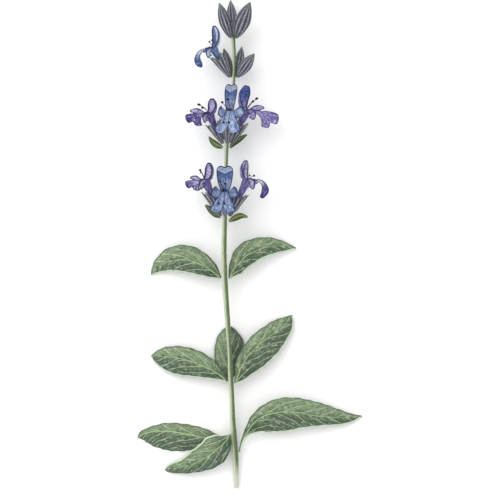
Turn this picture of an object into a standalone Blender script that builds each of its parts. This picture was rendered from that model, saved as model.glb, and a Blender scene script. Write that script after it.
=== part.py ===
"""A cut flowering stem of common sage, laid down on a table.

One stem lies along +Y with its cut end towards -Y.  Eight leaves sit on it at three levels.
Above them come two full whorls of two-lipped flowers, a third whorl with one open flower,
and three closed calyces at the tip.  Everything rests on z = 0, under the middle of the sprig.
Plain numbers below are millimetres and degrees; to_metres() turns a point into metres.
"""

import bisect
import math

import bpy
import numpy as np
from mathutils import Matrix, Vector

MM = 0.001
CLEARANCE = 0.3
BLADE = 0.6
PETAL = 0.6
SEPAL = 0.6
THREAD = 0.3
# A flower or bud starts this far out from the stem's skin, so that its foot clears it.
FLOWER_OFFSET = CLEARANCE + 1.0
BUD_OFFSET = CLEARANCE + 0.9

# The stem: x, y, height of its middle, half width.  It is 3 mm thick at the cut, 1.6 mm on top.
STEM = [
    (-6.9, -121.8, 1.4, 1.25),
    (-7.2, -108.0, 2.8, 1.5),
    (-7.9, -98.0, 3.7, 1.6),
    (-8.6, -88.0, 4.5, 1.4),
    (-9.1, -75.0, 5.6, 1.3),
    (-9.6, -68.0, 6.2, 1.4),
    (-10.3, -53.0, 7.2, 1.1),
    (-11.2, -38.0, 8.0, 1.4),
    (-12.2, -24.0, 8.7, 1.5),
    (-12.9, -8.0, 9.6, 1.4),
    (-12.9, 3.0, 10.1, 1.4),
    (-12.6, 12.0, 10.5, 1.2),
    (-12.2, 25.0, 10.9, 0.9),
    (-11.7, 47.0, 11.0, 1.0),
    (-10.3, 62.0, 10.8, 0.85),
    (-8.4, 79.0, 10.3, 0.85),
    (-7.8, 92.0, 9.9, 0.8),
    (-8.4, 104.0, 9.5, 1.1),
]
STEM_RING = 5.0
STEM_CORNER = 1.12
STEM_FACE = 0.9
STEM_CORNERS = 8

# A leaf: stations from its base to its tip, each with x, y, and the width to the left and to
# the right of the midrib, then the midrib's height at the base, the middle and the tip, how
# far the margins droop, and how far (crown) each half bulges up beside the midrib.
LEAVES = {
    "leaf_upper_left": dict(
        stations=[
            (-14.75, -17.0, 0.5, 0.5), (-18.5, -13.8, 3.6, 3.3), (-23.5, -10.6, 5.5, 5.5),
            (-31.5, -7.8, 6.4, 7.2), (-39.0, -8.1, 5.4, 6.5), (-44.5, -10.6, 3.6, 4.1),
            (-47.3, -13.1, 1.8, 2.3), (-49.3, -15.3, 0.3, 0.3),
        ],
        heights=(8.6, 8.4, 0.4), droop=2.2, crown=0.9,
    ),
    "leaf_upper_right": dict(
        stations=[
            (-10.15, -17.1, 0.5, 0.5), (-8.3, -12.6, 2.4, 4.4), (-5.0, -8.8, 5.2, 5.0),
            (-1.0, -5.1, 6.3, 5.6), (5.0, -2.3, 5.7, 4.9), (12.0, -0.8, 3.9, 4.1),
            (18.0, -1.0, 1.8, 2.6), (23.0, -2.1, 0.3, 0.3),
        ],
        heights=(8.8, 8.6, 1.4), droop=1.9, crown=0.9,
    ),
    "leaf_middle_left": dict(
        stations=[
            (-11.8, -68.6, 0.5, 0.5), (-15.0, -65.5, 2.8, 2.4), (-21.5, -61.8, 5.7, 5.1),
            (-27.5, -59.3, 7.4, 6.2), (-34.0, -57.3, 8.6, 6.1), (-40.5, -56.3, 7.7, 5.1),
            (-45.5, -56.0, 5.1, 3.3), (-47.8, -56.0, 3.0, 1.5), (-49.5, -56.0, 0.3, 0.3),
        ],
        heights=(6.2, 6.6, 0.4), droop=2.0, crown=0.9,
    ),
    "leaf_middle_back": dict(
        stations=[
            (-10.2, -69.0, 0.5, 0.5), (-10.5, -64.8, 3.5, 3.5), (-10.5, -58.8, 6.9, 6.9),
            (-10.5, -52.8, 7.2, 7.8), (-10.3, -47.8, 6.4, 6.7), (-10.2, -44.8, 5.0, 4.8),
            (-10.1, -42.6, 3.1, 2.8), (-10.0, -41.2, 0.6, 0.6),
        ],
        heights=(3.7, 2.9, 1.2), droop=0.6, crown=0.5,
    ),
    "leaf_middle_right": dict(
        stations=[
            (-7.45, -69.4, 0.5, 0.5), (-6.3, -66.3, 1.1, 4.0), (-4.4, -61.3, 3.2, 7.4),
            (-1.0, -55.8, 4.3, 9.6), (4.5, -50.1, 5.5, 10.0), (10.0, -45.8, 5.4, 9.0),
            (15.5, -41.8, 4.9, 6.2), (19.0, -38.3, 2.6, 3.6), (21.2, -35.7, 0.3, 0.3),
        ],
        heights=(6.6, 7.6, 1.0), droop=1.8, crown=0.9,
    ),
    "leaf_lower_left_back": dict(
        stations=[
            (-10.2, -98.5, 0.5, 0.5), (-15.5, -97.8, 2.2, 2.0), (-22.5, -96.8, 5.0, 4.2),
            (-30.0, -95.5, 8.0, 4.9), (-37.0, -94.2, 9.5, 4.6), (-43.5, -93.6, 9.1, 3.8),
            (-50.0, -94.1, 7.0, 2.5), (-54.0, -95.3, 4.0, 1.7), (-56.2, -96.8, 0.4, 0.4),
        ],
        heights=(3.4, -0.2, -0.2), droop=0.0, crown=0.4,
    ),
    "leaf_lower_left_front": dict(
        stations=[
            (-10.2, -94.9, 0.5, 0.5), (-12.2, -98.5, 3.6, 5.0), (-16.5, -102.6, 6.6, 7.8),
            (-21.5, -106.3, 6.5, 7.1), (-27.0, -109.3, 4.8, 6.4), (-33.0, -111.3, 3.4, 4.1),
            (-38.0, -112.2, 2.3, 3.0), (-41.0, -112.6, 1.5, 2.0), (-42.6, -112.7, 0.4, 0.4),
        ],
        heights=(6.9, 5.6, 0.4), droop=0.9, crown=0.8,
    ),
    "leaf_lower_right": dict(
        stations=[
            (-5.25, -104.0, 0.5, 0.5), (-4.0, -99.3, 0.7, 0.7), (-1.8, -94.6, 1.4, 1.8),
            (0.5, -91.1, 2.2, 4.8), (3.5, -87.8, 3.5, 8.0), (8.5, -85.2, 5.2, 9.4),
            (15.0, -83.8, 6.7, 10.2), (22.5, -83.8, 7.0, 9.4), (30.0, -85.3, 7.0, 6.6),
            (37.5, -86.3, 6.0, 4.7), (45.0, -86.6, 3.7, 4.0), (51.0, -86.6, 1.6, 2.6),
            (56.2, -86.3, 0.3, 0.3),
        ],
        heights=(3.9, 8.2, 0.4), droop=2.4, crown=1.0,
    ),
}
LEAF_ROW = 2.8
LEAF_SIDE_STEPS = (0.0, 0.3, 0.68, 1.0)
SCALLOP = 0.14
SCALLOP_LENGTH = 2.0 * LEAF_ROW
# Where a leaf is narrower than this its scallops fade out.
SCALLOP_FADE = 3.0
# The midrib's direction is measured over this far on both sides.
HEADING_STEP = 0.3

# A bract is a small pointed leaf under a whorl; its slope turns one edge down and one up.
BRACTS = {
    "bract_lower_left_upper": dict(
        stations=[(-15.2, 16.4, 0.5, 0.5), (-17.0, 18.9, 1.3, 1.3), (-19.5, 21.5, 1.1, 1.1),
                  (-21.5, 23.2, 0.3, 0.3)],
        heights=(9.0, 7.0, 5.2), slope=0.5,
    ),
    "bract_lower_left": dict(
        stations=[(-14.8, 13.4, 0.5, 0.5), (-17.3, 15.3, 1.7, 1.5), (-20.1, 17.8, 1.5, 1.3),
                  (-22.4, 19.6, 0.3, 0.3)],
        heights=(10.4, 10.2, 8.6), slope=0.6,
    ),
    "bract_lower_right": dict(
        stations=[(-10.3, 15.3, 0.5, 0.5), (-8.3, 17.0, 1.3, 1.3), (-6.4, 18.8, 1.2, 1.2),
                  (-5.0, 20.7, 0.3, 0.3)],
        heights=(9.2, 8.2, 7.6), slope=-0.4,
    ),
    "bract_lower_right_small": dict(
        stations=[(-10.5, 11.5, 0.5, 0.5), (-7.4, 13.2, 1.4, 1.5), (-4.5, 14.2, 1.4, 1.3),
                  (-1.2, 13.7, 0.3, 0.3)],
        heights=(10.6, 10.8, 9.8), slope=-0.3,
    ),
    "bract_upper_left": dict(
        stations=[(-13.6, 48.2, 0.5, 0.5), (-16.2, 49.6, 1.7, 1.2), (-18.7, 51.4, 1.4, 1.1),
                  (-20.5, 53.7, 0.3, 0.3)],
        heights=(11.2, 10.8, 9.0), slope=0.6,
    ),
    "bract_upper_right": dict(
        stations=[(-9.9, 48.2, 0.5, 0.5), (-7.7, 50.8, 1.3, 1.4), (-4.9, 52.8, 1.2, 1.3),
                  (-1.5, 54.8, 0.3, 0.3)],
        heights=(10.2, 9.7, 8.8), slope=-0.5,
    ),
}
BRACT_ROW = 2.2
BRACT_SIDE_STEPS = (0.0, 0.6, 1.0)
BRACT_CROWN = 0.2

# A whorl stands at one place on the stem.
WHORLS = {"lower": 14.2, "upper": 50.4, "top": 83.6, "tip": 103.3}

# An open flower: its whorl, where it stands around the stem (0 is to the right, 90 is up from
# the table), how far it spreads from the stem, its calyx, tube, hood and lip lengths, and the
# radius of its throat.  The hood has a lean, a width, a roll round its own length and a form.
# The lip turns from its first to its last angle over a share (bend) of its length, and has a
# width, a roll and a drift to one side.  The side lobes have a form each.  The stamens have a
# length (thread) and a rise as shares of the usual one, one is shorter and lower than the other,
# and both sweep to one side.
FLOWERS = {
    "lower_left": dict(
        whorl="lower", around=158, spread=24.5, calyx=14.5, tube=19.6, throat=2.4, hood=9.0, lean=-54,
        hood_width=2.8, hood_roll=32, hood_form="oval", lip=6.9, lip_start=64, lip_end=138,
        lip_bend=1.0, lip_width=4.5, lip_roll=-75, lip_drift=0.0, lip_form="fan",
        sides=("hanging", "raised"), thread=0.86, rise=0.3, shorter=1.6, lower=0.9, sweep=0.0,
    ),
    "lower_centre": dict(
        whorl="lower", around=90, spread=27, calyx=10.5, tube=14.0, throat=2.0, hood=13.4, lean=-20,
        hood_width=4.0, hood_roll=0, hood_form="broad", lip=16.4, lip_start=50, lip_end=190,
        lip_bend=1.0, lip_width=6.6, lip_roll=0, lip_drift=-1.1, lip_form="broad",
        sides=("broad", "broad"), thread=0.78, rise=1.0, shorter=-1.5, lower=0.0, sweep=-1.2,
    ),
    "lower_right": dict(
        whorl="lower", around=14, spread=27, calyx=13.5, tube=20.3, throat=2.4, hood=9.8, lean=-48,
        hood_width=2.8, hood_roll=-32, hood_form="oval", lip=13.6, lip_start=36, lip_end=184,
        lip_bend=0.85, lip_width=2.3, lip_roll=55, lip_drift=0.0, lip_form="arched",
        sides=("small", "hanging"), thread=0.46, rise=0.6, shorter=1.2, lower=2.8, sweep=0.0,
    ),
    "upper_left": dict(
        whorl="upper", around=160, spread=26, calyx=12.0, tube=16.6, throat=2.4, hood=7.7, lean=-54,
        hood_width=2.9, hood_roll=34, hood_form="oval", lip=8.8, lip_start=62, lip_end=134,
        lip_bend=1.0, lip_width=5.2, lip_roll=-75, lip_drift=0.0, lip_form="fan",
        sides=("hanging", "long"), thread=0.93, rise=1.1, shorter=2.3, lower=1.7, sweep=0.0,
    ),
    "upper_centre": dict(
        whorl="upper", around=81, spread=23, calyx=11.0, tube=17.5, throat=2.0, hood=14.4, lean=-14,
        hood_width=3.0, hood_roll=0, hood_form="broad", lip=19.0, lip_start=50, lip_end=185,
        lip_bend=1.0, lip_width=6.6, lip_roll=0, lip_drift=-3.8, lip_form="broad",
        sides=("broad", "broad"), thread=1.05, rise=1.0, shorter=1.3, lower=0.0, sweep=-2.7,
    ),
    "upper_right": dict(
        whorl="upper", around=6, spread=24, calyx=12.5, tube=18.0, throat=2.6, hood=12.6, lean=-38,
        hood_width=4.0, hood_roll=-50, hood_form="oval", lip=13.8, lip_start=64, lip_end=134,
        lip_bend=1.0, lip_width=5.8, lip_roll=75, lip_drift=0.0, lip_form="fan",
        sides=("long", "hanging"), thread=1.1, rise=0.78, shorter=1.6, lower=0.7, sweep=0.0,
    ),
    "top_left": dict(
        whorl="top", around=165, spread=31, calyx=13.5, tube=16.8, throat=2.2, hood=11.2, lean=-50,
        hood_width=3.2, hood_roll=24, hood_form="oval", lip=12.8, lip_start=44, lip_end=182,
        lip_bend=0.85, lip_width=2.2, lip_roll=-55, lip_drift=0.0, lip_form="arched",
        sides=("hanging", "small"), thread=0.55, rise=0.1, shorter=0.3, lower=3.6, sweep=0.0,
    ),
}

# These open blue; the others open violet.
BLUE_FLOWERS = ("lower_centre", "upper_centre", "top_left")

# A calyx on the far side of each whorl.
EMPTY_CALYCES = {
    "lower_back": dict(whorl="lower", around=270, spread=23, calyx=12.0),
    "upper_back": dict(whorl="upper", around=270, spread=24, calyx=12.5),
}

# Closed calyces, still in bud.
BUDS = {
    "top_left_back": dict(whorl="top", around=227, spread=20, length=15.2, radius=2.3),
    "top_right_front": dict(whorl="top", around=18, spread=37, length=14.4, radius=2.9),
    "top_right_back": dict(whorl="top", around=309, spread=16, length=15.8, radius=2.5),
    "tip_left": dict(whorl="tip", around=128, spread=28, length=19.0, radius=3.0),
    "tip_back": dict(whorl="tip", around=257, spread=11, length=19.2, radius=2.8),
    "tip_right": dict(whorl="tip", around=54, spread=35, length=20.8, radius=3.9),
}

# Radius of the parts of a flower: share of the length, radius.
CALYX_PROFILE = [(0.0, 0.75), (0.1, 1.15), (0.36, 2.2), (0.62, 3.0), (0.82, 3.6), (1.0, 4.1)]
BUD_PROFILE = [(0.0, 0.2), (0.1, 0.5), (0.25, 0.77), (0.5, 1.0), (0.78, 0.68), (1.0, 0.1)]
TUBE_START = 6.2
# Tube: share of its length, share of the throat's radius.
TUBE_PROFILE = [(0.0, 0.33), (0.35, 0.5), (0.65, 0.71), (1.0, 1.0)]
CALYX_NOTCH = 0.76
CALYX_RIB = 0.12
CALYX_RIB_RISE = 4.0
CALYX_TEETH = 5
CALYX_ROWS = 5
BUD_ROWS = 7
TUBE_ROWS = 4

# The corolla's edge at the throat, in degrees round the tube from the hood's middle.  Hood, side
# lobes and middle lobe each take their share of these points.
HOOD_ANGLES = (-90, -60, -30, 0, 30, 60, 90)
RING_ANGLES = HOOD_ANGLES + (112.5, 135, 157.5, 180, 202.5, 225, 247.5)

# Hood: share of its length, share of its width or of the throat's radius.
HOOD_WIDTH = {
    "oval": [(0.0, 0.9), (0.3, 1.0), (0.65, 0.95), (0.88, 0.6), (1.0, 0.26)],
    "broad": [(0.0, 0.5), (0.25, 0.78), (0.5, 0.94), (0.75, 1.0), (0.9, 0.95), (1.0, 0.7)],
}
HOOD_DEPTH = [(0.0, 1.0), (0.3, 1.15), (0.65, 1.0), (0.88, 0.55), (1.0, 0.2)]
HOOD_CURL = 34
HOOD_NOTCH = {"oval": 0.2, "broad": 0.9}
HOOD_NOTCH_ANGLE = 22.0
HOOD_ROWS = 5

# Middle lobe of the lower lip: notch and rounding are shares of its length.
LIP_FORMS = {
    "fan": dict(
        width=[(0.0, 0.42), (0.25, 0.42), (0.5, 0.68), (0.75, 0.98), (1.0, 0.92)],
        notch=0.17, rounding=0.24,
    ),
    "broad": dict(
        width=[(0.0, 0.3), (0.3, 0.32), (0.5, 0.46), (0.65, 0.68), (0.85, 0.98), (1.0, 0.92)],
        notch=0.2, rounding=0.16,
    ),
    "arched": dict(
        width=[(0.0, 0.7), (0.25, 0.7), (0.5, 0.75), (0.75, 1.0), (1.0, 0.85)],
        notch=0.0, rounding=0.34,
    ),
}
LIP_NOTCH_WIDTH = 0.24
LIP_CUP = 1.0
LIP_ROOT_CUP = 0.4
LIP_ROWS = 6

# A side lobe: length, half width, first and last angle from the tube's direction, twist, and its
# turn away from the middle lobe.
SIDE_LOBES = {
    "hanging": dict(length=6.2, half=2.7, start=75, end=160, twist=70, turn=25),
    "raised": dict(length=6.2, half=1.4, start=38, end=62, twist=60, turn=20),
    "long": dict(length=8.2, half=1.6, start=38, end=68, twist=60, turn=20),
    "small": dict(length=4.0, half=1.4, start=60, end=110, twist=40, turn=25),
    "broad": dict(length=6.2, half=3.2, start=70, end=126, twist=75, turn=45),
}
SIDE_WIDTH = [(0.0, 0.6), (0.35, 1.0), (0.7, 1.0), (0.9, 0.75), (1.0, 0.45)]
SIDE_ROOT = 112.5
SIDE_ROWS = 3

# Half of the stamens' thread: sideways, along past the throat, outwards, radius.  The other half
# is its mirror image, a little shorter and lower.
STAMEN = [
    (0.0, -2.6, -0.3, THREAD),
    (0.5, -1.2, -0.4, THREAD),
    (0.7, 1.5, 0.4, THREAD),
    (1.0, 4.0, 1.2, THREAD),
    (1.2, 6.0, 2.3, THREAD),
    (1.3, 6.9, 3.0, 0.55),
    (1.3, 7.4, 3.6, 0.3),
]
STAMEN_REACH = 6.0
# A second pair hangs over the middle lobe: last angle round the lobe's own arc, sweep to one
# side, and how far each stands from the middle at its end.
LIP_STAMENS = {
    "lower_centre": dict(end=140, sweep=-1.6, apart=1.4),
    "upper_centre": dict(end=138, sweep=-3.9, apart=1.3),
}
LIP_STAMEN_GAP = 1.45
LIP_STAMEN_APART = 0.5
LIP_STAMEN_STEPS = 7
LIP_STAMEN_ROOT = [(0.0, -2.2, 0.6), (0.4, -1.2, 0.75)]
# An anther at a thread's end: further along, share of the thread's radius.
ANTHER_TIP = [(0.0, 1.0), (0.9, 1.85), (1.4, 1.0)]
THREAD_SIDES = 5

GREEN_STEM = (0.33, 0.42, 0.16)
GREEN_LEAF = (0.12, 0.20, 0.10)
GREEN_BRACT = (0.14, 0.20, 0.07)
GREY_CALYX = (0.16, 0.14, 0.17)
BLUE_PETAL = (0.20, 0.30, 0.58)
PURPLE_PETAL = (0.22, 0.14, 0.42)
DARK_ANTHER = (0.03, 0.03, 0.06)
STEM_ROUGHNESS = 0.55
LEAF_ROUGHNESS = 0.7
BRACT_ROUGHNESS = 0.65
CALYX_ROUGHNESS = 0.6
PETAL_ROUGHNESS = 0.5


def clear_scene():
    for item in list(bpy.data.objects):
        bpy.data.objects.remove(item, do_unlink=True)


def make_material(name, colour, roughness):
    material = bpy.data.materials.new(name)
    material.use_nodes = True
    shader = material.node_tree.nodes["Principled BSDF"]
    shader.inputs["Base Color"].default_value = (*colour, 1.0)
    shader.inputs["Roughness"].default_value = roughness
    shader.inputs["Metallic"].default_value = 0.0
    return material


def stem_green():
    return make_material("stem_green", GREEN_STEM, STEM_ROUGHNESS)


def leaf_green():
    return make_material("leaf_green", GREEN_LEAF, LEAF_ROUGHNESS)


def bract_green():
    return make_material("bract_green", GREEN_BRACT, BRACT_ROUGHNESS)


def calyx_grey_purple():
    return make_material("calyx_grey_purple", GREY_CALYX, CALYX_ROUGHNESS)


def petal_blue():
    return make_material("petal_blue", BLUE_PETAL, PETAL_ROUGHNESS)


def petal_purple():
    return make_material("petal_purple", PURPLE_PETAL, PETAL_ROUGHNESS)


def anther_dark():
    return make_material("anther_dark", DARK_ANTHER, PETAL_ROUGHNESS)


def to_metres(point):
    return (point[0] * MM, point[1] * MM, point[2] * MM)


def spline(knots, rows, place):
    """Read a smooth curve through rows of numbers at one place along its knots."""
    last = len(knots) - 1
    i = min(max(bisect.bisect_right(knots, place) - 1, 0), last - 1)
    before = max(i - 1, 0)
    after = min(i + 2, last)
    span = knots[i + 1] - knots[i]
    t = (place - knots[i]) / span
    slope_here = (rows[i + 1] - rows[before]) / (knots[i + 1] - knots[before]) * span
    slope_there = (rows[after] - rows[i]) / (knots[after] - knots[i]) * span
    return (
        rows[i] * (2 * t**3 - 3 * t**2 + 1)
        + slope_here * (t**3 - 2 * t**2 + t)
        + rows[i + 1] * (3 * t**2 - 2 * t**3)
        + slope_there * (t**3 - t**2)
    )


def profile(pairs, share):
    """Radius at a share of the length, from a short list of (share, radius)."""
    knots = [pair[0] for pair in pairs]
    rows = [pair[1] for pair in pairs]
    return spline(knots, rows, share)


def chord_knots(stations):
    """Distance travelled from station to station, by their x and y."""
    knots = [0.0]
    for a, b in zip(stations, stations[1:]):
        knots.append(knots[-1] + math.dist(a[:2], b[:2]))
    return knots


def arc_point(length, start, end, share, bend=1.0):
    """Point and heading on an arc from start to end, in degrees, and straight on past bend."""
    first = math.radians(start)
    turn = math.radians(end - start)
    turned = min(share / bend, 1.0)
    heading = first + turn * turned
    radius = length * bend / turn
    straight = length * max(share - bend, 0.0)
    along = radius * (math.sin(heading) - math.sin(first)) + straight * math.cos(heading)
    outward = radius * (math.cos(first) - math.cos(heading)) + straight * math.sin(heading)
    return along, outward, heading


def mesh_object(name, points, triangles, material):
    mesh = bpy.data.meshes.new(name)
    mesh.from_pydata([to_metres(p) for p in points], [], triangles)
    mesh.update()
    mesh.shade_smooth()
    thing = bpy.data.objects.new(name, mesh)
    thing.data.materials.append(material)
    bpy.context.scene.collection.objects.link(thing)
    return thing


def thicken(thing, thickness, offset):
    """Give an open sheet its thickness; offset 0 is both ways, -1 is inwards only."""
    solidify = thing.modifiers.new("Thickness", "SOLIDIFY")
    solidify.thickness = thickness * MM
    solidify.offset = offset
    solidify.use_rim = True


def grid_triangles(row_starts, columns):
    """Triangles between neighbouring rows of points, split the same way throughout."""
    triangles = []
    for low, high in zip(row_starts, row_starts[1:]):
        for j in range(columns - 1):
            triangles.append((low + j, low + j + 1, high + j + 1))
            triangles.append((low + j, high + j + 1, high + j))
    return triangles


def strip_triangles(low, high):
    """Triangles between two rows of point numbers of the same length."""
    triangles = []
    for j in range(len(low) - 1):
        triangles.append((low[j], low[j + 1], high[j + 1]))
        triangles.append((low[j], high[j + 1], high[j]))
    return triangles


# Stem

def stem_at(y):
    """Middle and half width of the stem at a place along it."""
    knots = [station[1] for station in STEM]
    rows = [np.array(station) for station in STEM]
    x, y, height, half = spline(knots, rows, y)
    return np.array((x, y, height)), half


def sweep(name, stations, ring, material):
    """A closed body through stations of (point, radius); ring gives its section's corners."""
    points = []
    triangles = []
    rows = []
    middles = [np.array(point) for point, radius in stations]
    side = None
    for i, (point, radius) in enumerate(stations):
        heading = Vector(middles[min(i + 1, len(middles) - 1)] - middles[max(i - 1, 0)])
        heading.normalize()
        if side is None:
            side = heading.orthogonal().normalized()
        side = (side - heading * side.dot(heading)).normalized()
        upward = heading.cross(side)
        row = []
        for angle, factor in ring:
            turn = side * math.cos(angle) + upward * math.sin(angle)
            row.append(len(points))
            points.append(tuple(Vector(point) + turn * radius * factor))
        rows.append(row)
    for low, high in zip(rows, rows[1:]):
        triangles += strip_triangles(low + low[:1], high + high[:1])
    for row, point, flip in ((rows[0], stations[0][0], True), (rows[-1], stations[-1][0], False)):
        middle = len(points)
        points.append(tuple(point))
        for j in range(len(row)):
            pair = (row[j], row[(j + 1) % len(row)])
            triangles.append((pair[1], pair[0], middle) if flip else (pair[0], pair[1], middle))
    return mesh_object(name, points, triangles, material)


def make_stem(material):
    first = STEM[0][1]
    length = STEM[-1][1] - first
    count = round(length / STEM_RING)
    stations = []
    for i in range(count + 1):
        stations.append(stem_at(first + length * i / count))
    ring = []
    for k in range(STEM_CORNERS):
        turn = math.radians(360 * k / STEM_CORNERS)
        ring.append((turn, STEM_CORNER if k % 2 else STEM_FACE))
    return sweep("stem", stations, ring, material)


# Leaves and bracts

def blade_point(shape, along, across):
    """Point of a blade at a distance along its midrib and a share, -1 to 1, across it."""
    stations = [np.array(station) for station in shape["stations"]]
    knots = chord_knots(shape["stations"])
    x, y, left, right = spline(knots, stations, along)
    ahead = spline(knots, stations, min(along + HEADING_STEP, knots[-1]))
    behind = spline(knots, stations, max(along - HEADING_STEP, 0.0))
    heading = (ahead - behind)[:2]
    heading /= np.linalg.norm(heading)
    width = left if across > 0 else right
    fullest = max(max(station[2:]) for station in shape["stations"])
    reach = width * across
    share = along / knots[-1]
    base, middle, tip = shape["heights"]
    height = base * (1 - share) * (1 - 2 * share) + middle * 4 * share * (1 - share)
    height += tip * share * (2 * share - 1)
    edge = abs(across)
    height += shape.get("crown", BRACT_CROWN) * math.sin(math.pi * edge) * width / fullest
    height -= shape.get("droop", 0.0) * edge**2 * width / fullest
    height += shape.get("slope", 0.0) * reach
    wave = math.cos(2 * math.pi * along / SCALLOP_LENGTH)
    if "droop" in shape:
        reach += math.copysign(SCALLOP * wave * edge**4 * min(width / SCALLOP_FADE, 1.0), across)
    side = np.array((-heading[1], heading[0]))
    place = np.array((x, y)) + side * reach
    return (place[0], place[1], max(height, BLADE / 2))


def make_blade(name, shape, row_length, side_steps, material):
    """A leaf or bract: a sheet of rows across its midrib, then its thickness."""
    length = chord_knots(shape["stations"])[-1]
    count = 2 * round(length / row_length / 2)
    across = [-step for step in reversed(side_steps[1:])] + list(side_steps)
    points = []
    starts = []
    for i in range(count + 1):
        starts.append(len(points))
        for share in across:
            points.append(blade_point(shape, length * i / count, share))
    triangles = grid_triangles(starts, len(across))
    blade = mesh_object(name, points, triangles, material)
    thicken(blade, BLADE, 0.0)
    return blade


# Flowers: in a flower's own axes x is its side, y runs along its tube, z is outwards

def flower_matrix(shape, offset):
    """Place a flower on the stem, offset from the stem's middle, by its two angles."""
    middle, half = stem_at(WHORLS[shape["whorl"]])
    around = math.radians(shape["around"])
    spread = math.radians(shape["spread"])
    radial = Vector((math.cos(around), 0.0, math.sin(around)))
    upward = Vector((0.0, 1.0, 0.0))
    forward = upward * math.cos(spread) + radial * math.sin(spread)
    outward = radial * math.cos(spread) - upward * math.sin(spread)
    side = forward.cross(outward)
    place = Vector(middle) + radial * (half + offset)
    matrix = Matrix((side, forward, outward)).transposed().to_4x4()
    matrix.translation = place * MM
    return matrix


def ring_point(along, radius, angle):
    """Point of a ring round the tube; angle 0 is at the hood's middle, 180 at the lip's."""
    turn = math.radians(angle)
    return (radius * math.sin(turn), along, -radius * math.cos(turn))


def cap(points, triangles, row, along):
    """Close a ring at its base with a point in its middle."""
    middle = len(points)
    points.append((0.0, along, 0.0))
    for j in range(len(row)):
        triangles.append((row[j], row[(j + 1) % len(row)], middle))


def make_calyx(name, shape, material):
    """A ribbed bell with five pointed teeth, open at its mouth."""
    columns = 2 * CALYX_TEETH
    points = []
    triangles = []
    rows = []
    for i in range(CALYX_ROWS + 1):
        row = []
        for j in range(columns):
            is_tooth = j % 2 == 0
            share = i / CALYX_ROWS * (1.0 if is_tooth else CALYX_NOTCH)
            radius = profile(CALYX_PROFILE, share)
            radius += (CALYX_RIB if is_tooth else -CALYX_RIB) * min(share * CALYX_RIB_RISE, 1.0)
            row.append(len(points))
            points.append(ring_point(share * shape["calyx"], radius, 360 * j / columns))
        rows.append(row)
    for low, high in zip(rows, rows[1:]):
        triangles += strip_triangles(high + high[:1], low + low[:1])
    cap(points, triangles, rows[0], 0.0)
    calyx = mesh_object(name, points, triangles, material)
    calyx.matrix_world = flower_matrix(shape, FLOWER_OFFSET)
    thicken(calyx, SEPAL, -1.0)
    return calyx


def make_bud(name, shape, material):
    """A calyx still closed over its bud: a ribbed spindle with a pointed tip."""
    columns = 2 * CALYX_TEETH
    points = []
    triangles = []
    rows = []
    for i in range(BUD_ROWS + 1):
        share = i / BUD_ROWS
        row = []
        for j in range(columns):
            radius = shape["radius"] * profile(BUD_PROFILE, share)
            rib = CALYX_RIB if j % 2 == 0 else -CALYX_RIB
            radius += rib * math.sin(math.pi * share)
            row.append(len(points))
            points.append(ring_point(share * shape["length"], radius, 360 * j / columns))
        rows.append(row)
    for low, high in zip(rows, rows[1:]):
        triangles += strip_triangles(high + high[:1], low + low[:1])
    cap(points, triangles, rows[0], 0.0)
    cap(points, triangles, rows[-1][::-1], shape["length"])
    bud = mesh_object(name, points, triangles, material)
    bud.matrix_world = flower_matrix(shape, BUD_OFFSET)
    return bud


def hood_point(shape, share, angle):
    """The upper lip: a deep hood that leans back and curls over at its tip."""
    lean = shape["lean"]
    along, outward, heading = arc_point(shape["hood"], lean, lean + HOOD_CURL, share)
    wide = shape["hood_width"] * profile(HOOD_WIDTH[shape["hood_form"]], share)
    deep = shape["throat"] * profile(HOOD_DEPTH, share)
    turn = math.radians(angle)
    notch = HOOD_NOTCH[shape["hood_form"]] * share**4 * math.exp(-((angle / HOOD_NOTCH_ANGLE) ** 2))
    roll = math.radians(shape["hood_roll"]) * share
    x = wide * math.sin(turn) * math.cos(roll) - deep * math.cos(turn) * math.sin(roll)
    rise = -wide * math.sin(turn) * math.sin(roll) - deep * math.cos(turn) * math.cos(roll)
    along += -rise * math.sin(heading) - notch * math.cos(heading)
    outward += rise * math.cos(heading) - notch * math.sin(heading)
    return (x, shape["tube"] + along, outward)


def lip_point(shape, share, across):
    """The middle lobe of the lower lip: narrow at the throat, broad and notched at its end."""
    form = LIP_FORMS[shape["lip_form"]]
    notch = form["notch"] * math.exp(-((across / LIP_NOTCH_WIDTH) ** 2))
    reach = 1.0 - notch - form["rounding"] * abs(across) ** 3
    share = share * (1.0 + (reach - 1.0) * share)
    along, outward, heading = arc_point(
        shape["lip"], shape["lip_start"], shape["lip_end"], share, shape["lip_bend"]
    )
    wide = shape["lip_width"] * profile(form["width"], share) * across
    bend = LIP_CUP * across**2 * (LIP_ROOT_CUP + (1.0 - LIP_ROOT_CUP) * share)
    roll = math.radians(shape["lip_roll"]) * share
    x = shape["lip_drift"] * share - wide * math.cos(roll) - bend * math.sin(roll)
    rise = wide * math.sin(roll) - bend * math.cos(roll)
    along -= rise * math.sin(heading)
    outward += rise * math.cos(heading)
    return (x, shape["tube"] + along, shape["throat"] + outward)


def side_point(shape, share, across, hand):
    """A side lobe of the lower lip: a short tongue that spreads sideways and turns down."""
    form = SIDE_LOBES[shape["sides"][hand < 0]]
    along, outward, heading = arc_point(form["length"], form["start"], form["end"], share)
    wide = form["half"] * profile(SIDE_WIDTH, share) * across
    twist = math.radians(form["twist"]) * min(2 * share, 1.0)
    flat = wide * math.sin(twist)
    wide = wide * math.cos(twist)
    along -= flat * math.sin(heading)
    outward += flat * math.cos(heading)
    turn = math.radians(form["turn"])
    root = math.radians(SIDE_ROOT)
    x = shape["throat"] * math.sin(root) + outward * math.sin(turn) - wide * math.cos(turn)
    z = -shape["throat"] * math.cos(root) + outward * math.cos(turn) + wide * math.sin(turn)
    return (hand * x, shape["tube"] + along, z)


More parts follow.
